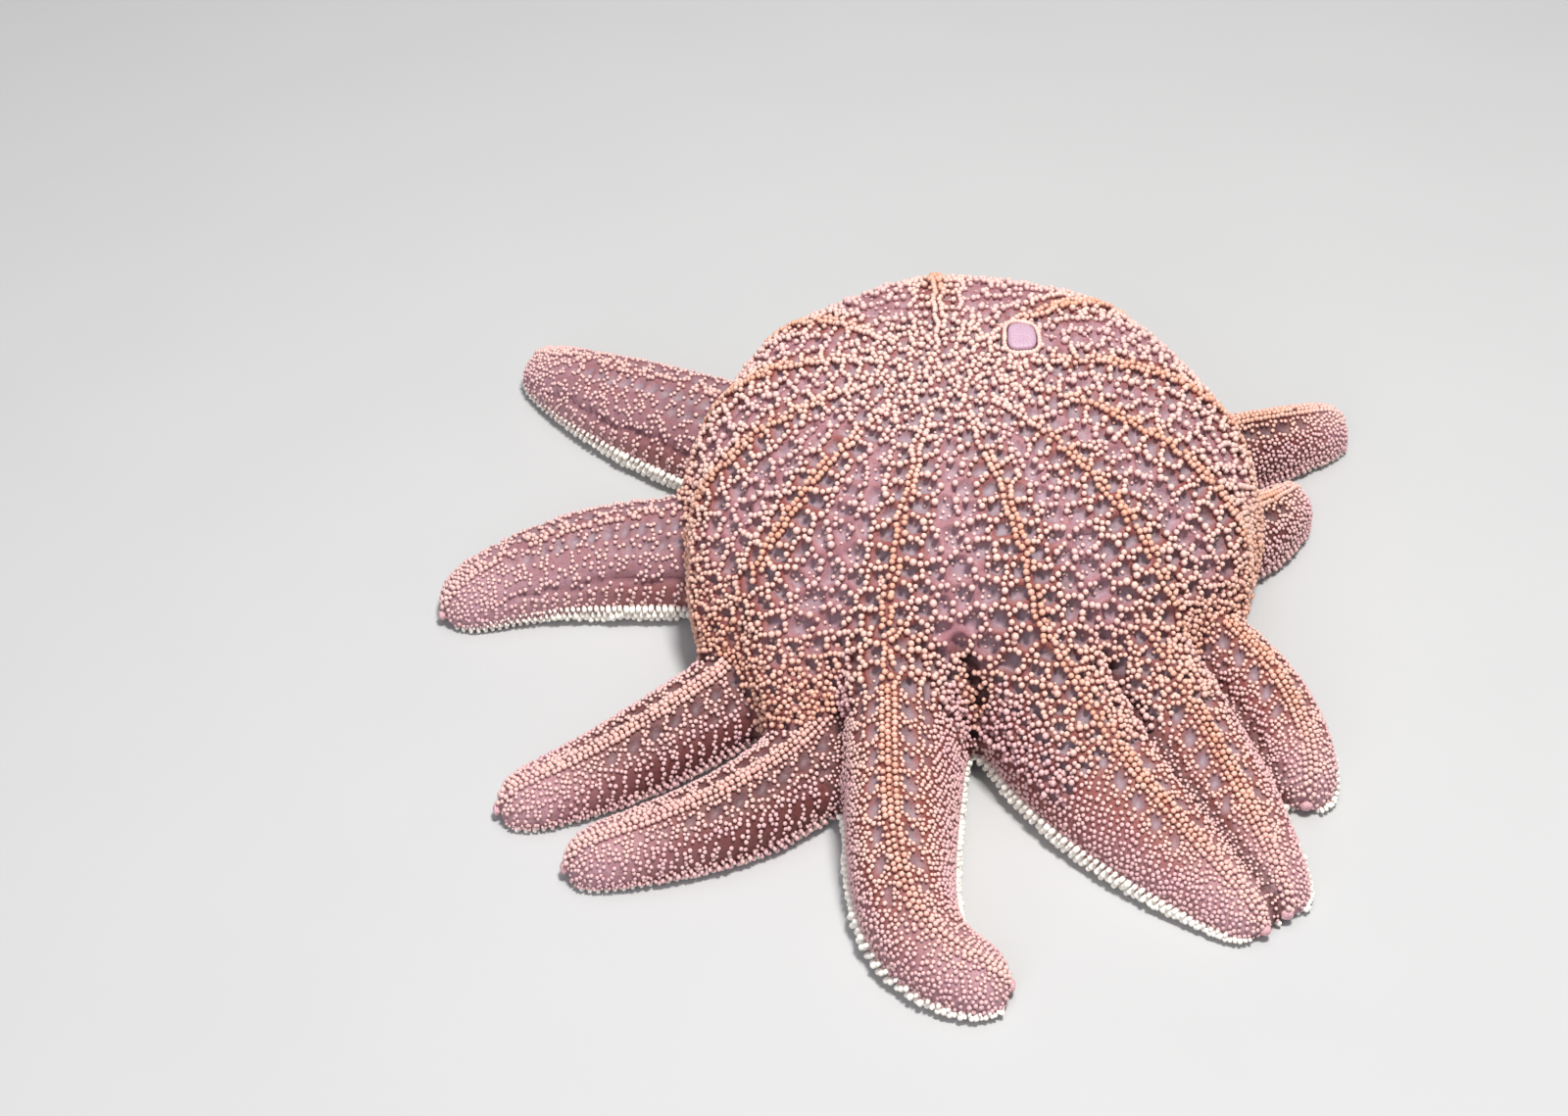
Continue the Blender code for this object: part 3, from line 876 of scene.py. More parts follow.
def spine_mesh(name, spines, profile, sides, rng):
    """One mesh of many spines: rings of points round each, a rounded head and a closed root."""
    roots, ways, thick, tall, found, unwrap = spines.fields
    count = len(roots)
    rings = len(profile)
    per = rings * sides + 1
    helper = np.where(np.abs(ways[:, 2:3]) < 0.9, [[0.0, 0.0, 1.0]], [[1.0, 0.0, 0.0]])
    side = unit(np.cross(ways, helper))
    front = np.cross(ways, side)
    steps = tau * np.arange(sides) / sides
    turns = rng.uniform(0.0, tau, count)[:, None] + steps
    ring = (side[:, None, :] * np.cos(turns)[..., None]
            + front[:, None, :] * np.sin(turns)[..., None])
    radius = 0.5 * thick[:, None, None]
    rise = ways * tall[:, None]
    layers = [roots[:, None, :] + (rise * up)[:, None, :] + ring * radius * wide
              for up, wide in profile]
    points = np.concatenate([*layers, (roots + rise)[:, None, :]], axis=1)
    pattern, totals = ring_loops(rings, sides)
    loops = np.arange(count)[:, None] * per + pattern
    starts = np.cumsum([0] + totals * count)[:-1]
    mesh = bpy.data.meshes.new(name)
    mesh.vertices.add(count * per)
    mesh.vertices.foreach_set("co", points.ravel())
    mesh.loops.add(loops.size)
    mesh.loops.foreach_set("vertex_index", loops.ravel().astype(np.int32))
    mesh.polygons.add(len(starts))
    mesh.polygons.foreach_set("loop_start", starts.astype(np.int32))
    mesh.update(calc_edges=True)
    mesh.validate()
    ups = np.repeat([up for up, _ in profile] + [1.0], [sides] * rings + [1])
    write_attribute(mesh, "rise", np.tile(ups, count))
    skin = surface()
    fields = {mark: skin.read(mark, found) for mark in MARKS}
    lot = rng.uniform(0.0, 1.0, count)
    fields["orange"] = (np.maximum(0.95 * fields["ridge"], 0.75 * fields["warm"])
                        * (0.35 + 0.65 * lot))
    fields["rosy"] = np.maximum(fields["rosy"] * (0.7 + 0.3 * lot), 0.3 * lot)
    for field, values in fields.items():
        write_attribute(mesh, field, np.repeat(values, per))
    circle = np.stack([np.cos(steps), np.sin(steps)], 1)
    spread = 0.5 * PATCH * (1.0 - 0.8 * np.clip(ups[:-1], 0.0, 1.0))
    corners = np.concatenate([np.tile(circle, (rings, 1)) * spread[:, None], [[0.0, 0.0]]])[pattern]
    # The root's own face gets a small circle beside the patch
    corners[-sides:] = circle[::-1] * 0.12 * PATCH + [0.75 * PATCH, 0.0]
    layer = mesh.uv_layers.new(name="OFBake")
    layer.uv.foreach_set("vector", (unwrap[:, None, :] + corners).astype(np.float32).ravel())
    mesh.shade_smooth()
    return mesh


def dome_unwrap(points):
    """The dome laid out flat round its crown, on a unit square."""
    offset = points - CROWN_AT + UNWRAP_LEVEL * DOWN
    far = np.linalg.norm(offset[:, :2], axis=1)
    fall = np.arctan2(far, offset[:, 2]) / radians(UNWRAP_FALL)
    return 0.5 + 0.48 * (fall / far)[:, None] * offset[:, :2]


def arm_unwrap(arm, along, across):
    """An arm laid out flat along its ridge, on a unit square."""
    return np.stack([0.03 + 0.94 * np.clip((along + BEFORE) / (arm.length + BEFORE), 0.0, 1.0),
                     0.5 + 0.47 * across / UNWRAPPED], 1)


def scatter(chosen, rng):
    """Random places on chosen triangles of the skin."""
    skin = surface()
    corners = np.repeat(skin.points[skin.triangles[chosen]], 3, axis=0)
    share = rng.random((len(corners), 2))
    share = np.where(share.sum(axis=1, keepdims=True) > 1.0, 1.0 - share, share)
    return (corners[:, 0] + (corners[:, 1] - corners[:, 0]) * share[:, :1]
            + (corners[:, 2] - corners[:, 0]) * share[:, 1:])


def dome_spines(rng):
    """Spines of the dome: close rows along the ridges, then chains along the net's bars, broken up
    between the ridges, then small ones in the open, and the ring round the sieve plate."""
    skin = surface()
    size = sizes()
    rows = ridge_rows(skin.tree, 0.45 * size.dome_spine, 0.95 * size.dome_spine)
    loose = scatter(skin.fields["net"][skin.triangles].min(axis=1) > 0.5, rng)
    spots, normals, found = skin.nearest(np.concatenate([rows, loose]), 2.2 * MM)
    count = len(spots)
    leads = np.arange(count) < len(rows)
    edge = skin.read("edge", found)
    low = smooth(spots[:, 2], 30.0 * MM, 14.0 * MM)
    crown = 1.0 - smooth(in_plan(spots, CROWN_AT), 10.0 * MM, 24.0 * MM)
    bare = np.clip((skin.read("open", found) - 0.25) / 0.5, 0.0, 1.0) * (1.0 - crown)
    bare *= skin.read("owner", found) < 0.5
    good = (found >= 0) & (np.linalg.norm(spots - FORK_AT, axis=1) > FORK_RADIUS)
    good &= (skin.read("fold", found) < 0.8) & ~near_sieve_plate(spots, RING_EDGE)
    bar = leads | (edge < (BAR_WIDTH + np.maximum(0.4 * crown, 0.8 * low)) * MM)
    clumps = np.ones(count)
    broken = np.flatnonzero(good & bar & ~leads & (bare > 0.0))
    clumps[broken] = [noise.noise(Vector(spot / NET_CLUMP)) for spot in spots[broken]]
    bar &= clumps > np.interp(bare, (0.0, 1.0), (-0.6, 0.04))
    small = ~bar & (edge > 0.9 * MM) & (rng.random(count) < 0.006 + 0.05 * bare)
    # Chains are filled from one side to the other, so that their spines stand close
    sweep = 0.8 * spots[:, 0] + 0.6 * spots[:, 1]
    order = np.argsort(np.select([leads, bar], [sweep - 1.0, sweep], sweep + 1.0), kind="stable")
    order = order[(good & (bar | small))[order]]
    thick = size.dome_spine * (1.0 - 0.12 * low) * np.where(bar, 1.0, 0.6)
    thick *= 1.0 + rng.triangular(-0.3, -0.05, 0.35, count) * np.where(leads, 0.4, 1.0)
    room = thick * np.select([leads, bar], ROOMS, 1.4)
    kept = order[thin_out(spots[order], room[order])]
    ways = normals[kept] + rng.normal(0.0, BRISTLE, (len(kept), 3))
    tall = thick[kept] * np.where(bar[kept], 0.95, 0.6)
    net = Spines(spots[kept], ways, thick[kept], tall, found[kept], dome_unwrap(spots[kept]))
    return join_spines([net, sieve_plate_spines(rng), furrow_spines(rng)])


def furrow_spines(rng):
    """Small spines down in the furrows between arms that lie side by side."""
    skin = surface()
    deep = skin.fields["fold"][skin.triangles].min(axis=1) > 0.5
    on_arms = skin.fields["net"][skin.triangles].max(axis=1) < 0.5
    spots, normals, found = skin.nearest(scatter(deep & on_arms, rng), 2.0 * MM)
    kept = np.flatnonzero(spots[:, 2] > 2.0 * MM)
    thick = 0.72 * sizes().arm_spine * rng.uniform(0.8, 1.15, len(kept))
    chosen = thin_out(spots[kept], 1.1 * thick)
    kept = kept[chosen]
    thick = thick[chosen]
    roots = spots[kept]
    return Spines(roots, normals[kept], thick, 0.8 * thick, found[kept], dome_unwrap(roots))


def row_places(arm, rng):
    """Along, across, thickness, rank and comb of the places in an arm's rows: the ridge band first,
    then the rows down its flanks, of which every other one fills in where a bend spreads them."""
    size = sizes()
    combed = arm.combed < 1.0
    lots = []
    for band in (True, False):
        start = 0.0
        row = 0
        while start < arm.length + 2.0 * MM:
            share = start / arm.length
            taper = np.interp(share, (0.0, 0.35, 0.7, 1.0), (1.15, 1.05, 1.02, 0.95))
            if band:
                column = np.array([-1.0, 0.0, 1.0])
                thick = BAND_SPINE * size.arm_spine
                apart = 0.92
                step = 0.95 * thick
                rank = 0.0
            else:
                column = np.arange(-34, 35) + 0.5 * ((row if combed else row // 2) % 2)
                thick = FLANK_SPINE * size.arm_spine
                apart = np.interp(share, (0.0, 0.5, 0.75, 1.0), (1.22, 1.15, 0.98, 0.95))
                spread = 1.0 + 0.3 * arm.stretch * (1.0 - smooth(share, 0.5, 0.8))
                step = 0.5 * size.comb * spread
                rank = 1.0 + row % 2
            across = column * apart * (thick * taper)
            comb = float(band or row % 4 < 2)
            same = np.tile([thick * taper, rank, comb], (len(column), 1))
            lots.append(np.column_stack([start + SLANT * np.abs(across), across, same]))
            start += step * taper
            row += 1
    places = np.concatenate(lots)
    loose = np.where(places[:, 3:4] < 0.5, BAND_LOOSE, FLANK_LOOSE)
    places[:, :2] += rng.normal(0.0, 1.0, (len(places), 2)) * loose
    places = places[(places[:, 0] > 0.0) & (places[:, 0] < arm.length)]
    half = arm.outline(places[:, 0])[2][:, FLAT_EDGE]
    inside = np.abs(places[:, 1]) < half + 0.3 * MM
    return places[inside], half[inside]


def arm_rows(arm, rng):
    """Spines of one arm: a band along its ridge, and rows from there down its flanks."""
    skin = surface()
    places, half = row_places(arm, rng)
    along, across, thick, rank, comb = places.T
    share = along / arm.length
    down = np.abs(across) / half
    spots, normals, found = skin.nearest(arm.place(along, across), 3.2 * MM)
    fold = skin.read("fold", found)
    good = (found >= 0) & (np.abs(skin.read("owner", found) - arm.number) < 0.4)
    good &= (spots[:, 2] > 1.1 * MM) & (fold < 0.5) & (skin.read("net", found) < 0.5)
    good &= (skin.read("pore", found) < 0.36) | (rank < 0.5)
    good &= skin.read("blush", found) < 0.6
    if arm.sparse:
        good &= (rank < 1.5) | (down < 0.45) | (share > 0.6)
    above = (down < arm.combed) | (arm.combed == 1.0)
    good &= above | (comb > 0.5)
    rank = np.where(above, rank, np.minimum(rank, 1.0))
    if arm.creased:
        clumps = np.array([noise.noise(Vector(spot / ARM_CLUMP)) for spot in spots])
        good &= (clumps > -0.04) | (down > arm.combed) | (share > 0.85)
    order = np.argsort(rank, kind="stable")
    order = order[good[order]]
    thick = thick * rng.triangular(0.75, 1.0, 1.2, len(thick)) * (1.0 - 0.35 * fold)
    outer = smooth(share, 0.55, 0.75)
    room = thick * np.select([rank < 0.5, rank < 1.5], [0.72, 0.8], 0.95 - 0.12 * outer)
    kept = order[thin_out(spots[order], room[order])]
    ways = normals[kept] + rng.normal(0.0, 0.08, (len(kept), 3))
    steep = 1.0 - np.clip(normals[kept, 2], 0.0, 1.0)
    ways[:, 2] += 0.35 * steep
    tall = thick[kept] * np.where(rank[kept] < 0.5, 0.95, 0.8 - 0.3 * steep)
    unwrap = arm_unwrap(arm, along[kept], (across / half)[kept])
    return Spines(spots[kept], ways, thick[kept], tall, found[kept], unwrap)


def above_floor(roots, ways, thick, tall):
    """Heights cut so that no spine reaches below the floor."""
    fall = np.maximum(-unit(ways)[:, 2], 1e-3)
    overhang = 0.5 * thick * np.sqrt(1.0 - np.minimum(fall, 1.0) ** 2)
    return np.minimum(tall, (roots[:, 2] - overhang - 0.1 * MM) / fall)


def staggered(start, end, pitch, row):
    """Distances along a row, every other row half a step on."""
    return np.arange(start, end, pitch) + 0.5 * pitch * (row % 2)


def fringe_spines(arm, rng):
    """The pale fringe: three rows of pegs along each lower edge of an arm, splayed outwards."""
    skin = surface()
    size = sizes()
    rounding = arm.half_widths[2]
    batches = []
    for hand in (-1.0, 1.0):
        for row, (outward, level, slope, long) in enumerate(FRINGE_ROWS):
            along = staggered(0.0, arm.length - 1.0 * MM, FRINGE_PITCH, row)
            share = along / arm.length
            half_width, height, _ = arm.section(along)
            spots, ways, right = arm.at(along)
            points = spots + right * (hand * half_width * outward)[:, None]
            points[:, 2] = np.maximum(np.minimum(height, FRINGE_HEIGHT) * level, FRINGE_LOWEST)
            past = np.clip((along - (arm.length - rounding)) / rounding, 0.0, 1.0)[:, None]
            out = right * hand * (1.0 - 0.8 * past) + ways * (0.9 * past)
            out[:, 2] = slope
            roots, normals, found = skin.nearest(points, 2.6 * MM)
            good = skin.belongs(arm.number, found) & ((normals * out).sum(axis=1) > 0.1)
            tall = size.fringe * long * rng.uniform(0.78, 1.12, len(along))
            if arm.tucked:
                tall *= 0.6
            elif arm.creased:
                tall *= np.interp(share, (0.5, 0.75), (1.0, 0.5))
            tall *= np.interp(share, (0.0, 0.7, 1.0), (1.0, 1.0, 0.5))
            out = unit(out + rng.normal(0.0, 0.06, out.shape))
            thick = np.minimum(size.fringe_spine, 0.75 * tall) * rng.uniform(0.9, 1.08, len(along))
            tall = above_floor(roots, out, thick, tall)
            good &= tall > 0.5 * thick
            unwrap = arm_unwrap(arm, along, np.full(len(along), hand * (1.02 + 0.1 * row)))
            batches.append(Spines(roots, out, thick, tall, found, unwrap).take(good))
    return join_spines(batches)


def soles(number, points, level):
    """Places on the underside, on an arm's own sole at a level or else under the disc: the skin's
    points, its triangles there, and which of them are good."""
    skin = surface()
    points[:, 2] = level
    roots, normals, found = skin.nearest(points, 1.6 * MM)
    good = skin.belongs(number, found) & (normals[:, 2] < -0.3)
    points[:, 2] = UNDERSIDE_LEVEL
    others, normals, under = skin.nearest(points, 3.0 * MM)
    inner = (skin.belongs(0, under) | skin.belongs(number, under)) & (normals[:, 2] < -0.6)
    inner &= ~good & (in_plan(points, DISC_AT) < UNDERSIDE_RADIUS)
    roots[inner] = others[inner]
    found[inner] = under[inner]
    return roots, found, good | inner


def hanging(arm, along, outward, level, tilt, thick, reach, spread):
    """One row that hangs from an arm's underside: outward in shares of its half width, with the
    directions' tilt and the shortest and longest reach."""
    spots, _, right = arm.at(along)
    points = spots + right * (arm.section(along)[0] * outward)[:, None]
    roots, found, good = soles(arm.number, points, level)
    down = tilt(right) + DOWN
    tall = above_floor(roots, down, thick, reach[1])
    unwrap = arm_unwrap(arm, along, np.full(len(along), spread))
    return Spines(roots, down, thick, tall, found, unwrap).take(good & (tall > reach[0]))


def under_spines(arm):
    """Short spines on an arm's sole, between its fringe and its groove, and on in to the mouth."""
    batches = []
    for hand in (-1.0, 1.0):
        for row, outward in enumerate(SOLE_ROWS):
            along = staggered(-BEFORE, arm.length - 2.0 * MM, SOLE_PITCH, row)
            thick = np.interp(along, (-BEFORE, 0.0), (0.6 * MM, 0.9 * MM))
            batches.append(hanging(arm, along, hand * outward, 0.9 * MM,
                                   lambda right: hand * 0.12 * row * right, thick, SOLE_REACH,
                                   hand * (1.40 - 0.06 * row)))
    return join_spines(batches)


def tube_feet(arm, rng):
    """Tube feet in an arm's groove and on in to the mouth, each with a small sucker."""
    batches = []
    for row in range(FEET_ROWS):
        along = staggered(-BEFORE, arm.length - 5.0 * MM, FEET_PITCH, row)
        beside = row - 0.5 * (FEET_ROWS - 1)
        batches.append(hanging(arm, along, 0.28 * beside / 1.5, 2.4 * MM,
                               lambda right: rng.normal(0.0, BRISTLE, right.shape), sizes().foot,
                               FEET_REACH, 0.05 * beside))
    return join_spines(batches)


# ---- plates


PLATE_UP = np.array([0.04, -0.20, 1.0])  # the way the sieve plate faces
PLATE_LIFT = 0.3 * MM  # how far it stands over its solid's middle
PLATE_CORNERS = 3.2  # 2 for a round plate, more for a squarer one
PLATE_STEPS = 120  # points round the plate
PLATE_RINGS = 16  # rings of points out to its edge, before two more down its side
PLATE_GROOVES = 20.0  # grooves round it
RING_DEPTH = 1.1 * MM  # how far down the ring's spines start
MEMBRANE_STEPS = 110  # points and rings of the membrane across the mouth
MEMBRANE_RINGS = 12
OPENING = 0.16  # the opening in it, as a share of its radius


def rounded_square(across, ahead):
    """How far out places are, counted so that 1 is the edge of a square with rounded corners."""
    total = np.abs(across) ** PLATE_CORNERS + np.abs(ahead) ** PLATE_CORNERS
    return total ** (1.0 / PLATE_CORNERS)


def sieve_plate_frame():
    """The sieve plate's middle, its upward direction, and its halves across and ahead."""
    low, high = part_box("madreporite")
    middle = 0.5 * (np.array(low) + np.array(high)) - PLATE_LIFT * DOWN
    up = PLATE_UP / np.linalg.norm(PLATE_UP)
    across = np.cross([0.0, 1.0, 0.0], up)
    across *= 0.5 * (high[0] - low[0]) / np.linalg.norm(across)
    return middle, up, across, 1.2 * np.cross(up, across)


def sieve_plate_edge(turns, reach):
    """Points round the sieve plate, a rounded square, at a share of its size."""
    middle, _, across, ahead = sieve_plate_frame()
    square = rounded_square(np.cos(turns), np.sin(turns)) ** -1.0
    square *= reach * (1.0 + 0.04 * np.cos(3.0 * turns + 0.6))
    return (middle + (square * np.cos(turns))[:, None] * across
            + (square * np.sin(turns))[:, None] * ahead)


def sieve_plate_spines(rng):
    """A ring of short spines grown together round the sieve plate."""
    _, up, _, _ = sieve_plate_frame()
    heads = sieve_plate_edge(tau * np.arange(RING_SPINES) / RING_SPINES, RING_REACH)
    found = surface().nearest(heads, 6.0 * MM)[2]
    thick = rng.uniform(0.95, 1.15, RING_SPINES) * MM
    tall = rng.uniform(1.15, 1.3, RING_SPINES) * MM
    ways = np.tile(up, (RING_SPINES, 1))
    return Spines(heads - RING_DEPTH * up, ways, thick, tall, found, dome_unwrap(heads))


def near_sieve_plate(points, reach):
    """Which points lie inside a share of the sieve plate's size."""
    middle, up, across, ahead = sieve_plate_frame()
    offset = points - middle
    share = rounded_square(*(offset @ half / (half @ half) for half in (across, ahead)))
    return (share < reach) & (np.abs(offset @ up) < 5.0 * MM)


def sieve_plate():
    """The sieve plate: a flat rounded square with grooves that run out from its middle."""
    middle, up, across, _ = sieve_plate_frame()
    half = np.linalg.norm(across)
    turns = tau * np.arange(PLATE_STEPS) / PLATE_STEPS
    form = bmesh.new()
    rings = []
    for ring in range(1, PLATE_RINGS + 3):
        share = min(ring / PLATE_RINGS, 1.0)
        waves = np.cos(PLATE_GROOVES * turns + 1.4 * np.sin(3.0 * turns) + 5.0 * share)
        level = 0.14 * (1.0 - share ** 8) + 0.02 * waves * min(share, 0.5)
        level -= 0.22 * max(ring - PLATE_RINGS, 0)
        points = sieve_plate_edge(turns, share) + half * level[:, None] * up
        rings.append([form.verts.new(point) for point in points])
    add_rings(form, rings)
    top = form.verts.new(middle + up * 0.14 * half)
    for start, end in zip(rings[0], rings[0][1:] + rings[0][:1]):
        form.faces.new((top, start, end))
    form.faces.new(reversed(rings[-1]))
    return finished(form, "sieve_plate")


def add_rings(form, rings):
    """Join rings of points, one inside another, with faces."""
    for inner, outer in zip(rings, rings[1:]):
        for step in range(len(inner)):
            form.faces.new((inner[step - 1], outer[step - 1], outer[step], inner[step]))


def tip_plate(number):
    """The plate at an arm's tip: a small boss with grains standing out on it."""
    low, high = (np.array(corner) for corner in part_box("terminal_plate_%d" % number))
    seat, outward, _, _ = surface().tree.find_nearest(0.5 * (low + high))
    seat = np.array(seat) + 0.1 * (high[2] - low[2]) * np.array(outward)
    form = bmesh.new()
    bmesh.ops.create_icosphere(form, subdivisions=4, radius=1.0)
    for point in form.verts:
        near = noise.voronoi(point.co * 3.2)[0][0]
        point.co = Vector(seat + 0.4 * (high - low) * np.array(point.co) * (1.0 - 0.22 * near))
    mesh = finished(form, "tip_plate_%d" % number)
    write_attribute(mesh, "tip", np.ones(len(mesh.vertices)))
    return mesh


def mouth_membrane():
    """The thin membrane across the mouth, puckered towards a small opening."""
    form = bmesh.new()
    turns = tau * np.arange(MEMBRANE_STEPS) / MEMBRANE_STEPS
    rings = []
    for ring in range(MEMBRANE_RINGS + 1):
        share = OPENING + (1.0 - OPENING) * ring / MEMBRANE_RINGS
        pucker = 0.35 * MM * np.cos(2 * len(ARMS) * turns) * (1.0 - share)
        level = MOUTH_LEVEL + 1.2 * MM * (1.0 - share ** 2) + pucker
        out = MOUTH_RADIUS * share
        points = DISC_AT + np.stack([out * np.cos(turns), out * np.sin(turns), level], 1)
        rings.append([form.verts.new(point) for point in points])
    add_rings(form, rings[::-1])
    bmesh.ops.solidify(form, geom=form.faces[:], thickness=0.3 * MM)
    return finished(form, "mouth_membrane")


def mouth_spines(rng):
    """A ring of spines round the mouth, two for each arm, leaning in over it."""
    skin = surface()
    turns = tau * np.arange(2 * len(ARMS)) / (2 * len(ARMS))
    outward = np.stack([np.cos(turns), np.sin(turns), np.zeros(len(turns))], 1)
    points = DISC_AT + outward * 1.18 * MOUTH_RADIUS
    points[:, 2] = MOUTH_LEVEL - 1.0 * MM
    roots, _, found = skin.nearest(points, 6.0 * MM)
    ways = -outward * 0.6
    ways[:, 2] = -0.7
    ways += rng.normal(0.0, 0.08, ways.shape)
    tall = above_floor(roots, ways, 1.1 * MM, 3.2 * MM)
    unwrap = 0.5 + 0.3 * outward[:, :2]
    return Spines(roots, ways, 1.1 * MM, tall, found, unwrap).take(tall > 0.8 * MM)


def finished(form, name):
    """A smooth mesh from a bmesh, with its faces pointing out."""
    bmesh.ops.recalc_face_normals(form, faces=form.faces[:])
    mesh = bpy.data.meshes.new(name)
    form.to_mesh(mesh)
    form.free()
    mesh.shade_smooth()
    return mesh


# ---- materials


def add_node(tree, kind, settings, output=0):
    """Add a node with its settings and links, and return one of its outputs.

    A setting names a property or an input. An input given another node's output is linked to it.
    """
    node = tree.nodes.new(kind)
    set_node(tree, node, settings)
    return node.outputs[output]


def set_node(tree, node, settings):
    """Give a node its settings and links."""
    for name, value in settings.items():
        if isinstance(value, bpy.types.NodeSocket):
            tree.links.new(value, node.inputs[name])
        elif isinstance(name, str) and name in node.bl_rna.properties:
            setattr(node, name, value)
        else:
            node.inputs[name].default_value = value


def layered(tree, base, grain, layers):
    """Lay colours over a base: each where a mark of the surface stands, uneven with the grain."""
    value = (*base, 1.0)
    for name, strength, tint in layers:
        amount = add_node(tree, "ShaderNodeAttribute", {"attribute_name": name}, "Fac")
        uneven = add_node(tree, "ShaderNodeMapRange", {
            "Value": grain, "From Min": 0.3, "From Max": 0.7,
            "To Min": 0.55 * strength, "To Max": 1.15 * strength})
        share = add_node(tree, "ShaderNodeMath", {
            "operation": "MULTIPLY", "use_clamp": True, 0: amount, 1: uneven})
        value = add_node(tree, "ShaderNodeMix", {
            "data_type": "RGBA", 0: share, 6: value, 7: (*tint, 1.0)}, 2)
    return value


def flesh_colour(tree):
    """Colour of the skin, and of the spines' stalks under it: maroon at the spines, mauve in the
    open, grey on the breathing patches, flushed at creases and the fork, lilac towards the tips,
    and painted shade down in the furrows, creases and grooves, and on the arms near the dome."""
    tone = colours()
    place = add_node(tree, "ShaderNodeTexCoord", {}, "Object")
    # Pigment cells stand in groups about 0.8 mm wide
    grain = add_node(tree, "ShaderNodeTexNoise", {
        "Vector": place, "Scale": 1.0 / (0.8 * MM), "Detail": 3.0}, "Fac")
    # The last two layers are painted shade: on the arms near the dome, and down in the furrows,
    # creases and grooves
    return layered(tree, tone.maroon, grain, (
        ("open", 1.0, tone.mauve), ("pore", 1.0, tone.grey), ("blush", 0.8, tone.magenta),
        ("lilac", 0.8, tone.lilac), ("dusky", 1.0, tone.shade), ("fold", 1.15, tone.shade)))


def wet_dermis(tree):
    """Thin wet skin over bone: soft colour from under the surface, and broken shine from the film
    of water on it."""
    place = add_node(tree, "ShaderNodeTexCoord", {}, "Object")
    # Papillae are about 0.3 mm wide and give the patches their velvet grain
    grain = add_node(tree, "ShaderNodeTexNoise", {
        "Vector": place, "Scale": 1.0 / (0.35 * MM), "Detail": 3.0}, "Fac")
    bump = add_node(tree, "ShaderNodeBump", {
        "Height": grain, "Strength": 0.6, "Distance": 0.2 * MM}, "Normal")
    shine = add_node(tree, "ShaderNodeMapRange", {"Value": grain, "To Min": 0.35, "To Max": 0.65})
    return {"Base Color": flesh_colour(tree), "Roughness": shine, "Normal": bump, "IOR": 1.40}


def skinned_calcite(tree):
    """Calcite spines under thin skin: a pale worn head on a darker, flesh-coloured stalk."""
    tone = colours()
    place = add_node(tree, "ShaderNodeTexCoord", {}, "Object")
    drift = add_node(tree, "ShaderNodeTexNoise", {
        "Vector": place, "Scale": 1.0 / (6.0 * MM), "Detail": 3.0}, "Fac")
    head = layered(tree, tone.cream, drift, (
        ("orange", 1.0, tone.orange), ("rosy", 1.0, tone.pink)))
    rise = add_node(tree, "ShaderNodeAttribute", {"attribute_name": "rise"}, "Fac")
    worn = add_node(tree, "ShaderNodeMapRange", {
        "interpolation_type": "SMOOTHSTEP", "Value": rise, "From Min": 0.05, "From Max": 0.75})
    value = add_node(tree, "ShaderNodeMix", {
        "data_type": "RGBA", 0: worn, 6: flesh_colour(tree), 7: head}, 2)
    return {"Base Color": value, "Roughness": 0.45, "IOR": 1.48}


def bare_calcite(tree):
    """Bare calcite of the fringe: near white and chalky, a little rosy at the roots."""
    tone = colours()
    rise = add_node(tree, "ShaderNodeAttribute", {"attribute_name": "rise"}, "Fac")
    root = add_node(tree, "ShaderNodeMapRange", {
        "Value": rise, "From Min": 0.0, "From Max": 0.5, "To Min": 0.5, "To Max": 0.0})
    value = add_node(tree, "ShaderNodeMix", {
        "data_type": "RGBA", 0: root, 6: (*tone.ivory, 1.0), 7: (*tone.pink, 1.0)}, 2)
    return {"Base Color": value, "Roughness": 0.5, "IOR": 1.55}


def hydrated_tissue(tree):
    """Tube feet and membrane: soft and full of water, so uneven in colour and wet."""
    tone = colours()
    place = add_node(tree, "ShaderNodeTexCoord", {}, "Object")
    grain = add_node(tree, "ShaderNodeTexNoise", {
        "Vector": place, "Scale": 1.0 / (1.0 * MM), "Detail": 2.0}, "Fac")
    value = add_node(tree, "ShaderNodeMix", {
        "data_type": "RGBA", 0: grain, 6: (*tone.foot, 1.0), 7: (*tone.ivory, 1.0)}, 2)
    return {"Base Color": value, "Roughness": 0.3, "IOR": 1.36}


def porous_calcite(tree):
    """Porous calcite of the sieve plate and the tip plates: matt lilac, speckled by fine pores."""
    tone = colours()
    place = add_node(tree, "ShaderNodeTexCoord", {}, "Object")
    # Pores are about 0.1 mm wide, drawn at 0.25 mm so that they show
    pores = add_node(tree, "ShaderNodeTexNoise", {
        "Vector": place, "Scale": 1.0 / (0.25 * MM), "Detail": 2.0}, "Fac")
    depth = add_node(tree, "ShaderNodeMapRange", {
        "Value": pores, "From Min": 0.35, "From Max": 0.6, "To Min": 0.45, "To Max": 0.0})
    tip = add_node(tree, "ShaderNodeAttribute", {"attribute_name": "tip"}, "Fac")
    plain = add_node(tree, "ShaderNodeMix", {
        "data_type": "RGBA", 0: tip, 6: (*tone.plate, 1.0), 7: (*tone.pink, 1.0)}, 2)
    value = add_node(tree, "ShaderNodeMix", {
        "data_type": "RGBA", 0: depth, 6: plain, 7: (*tone.magenta, 1.0)}, 2)
    bump = add_node(tree, "ShaderNodeBump", {
        "Height": pores, "Strength": 0.4, "Distance": 0.1 * MM}, "Normal")
    return {"Base Color": value, "Normal": bump, "Roughness": 0.5, "IOR": 1.50}


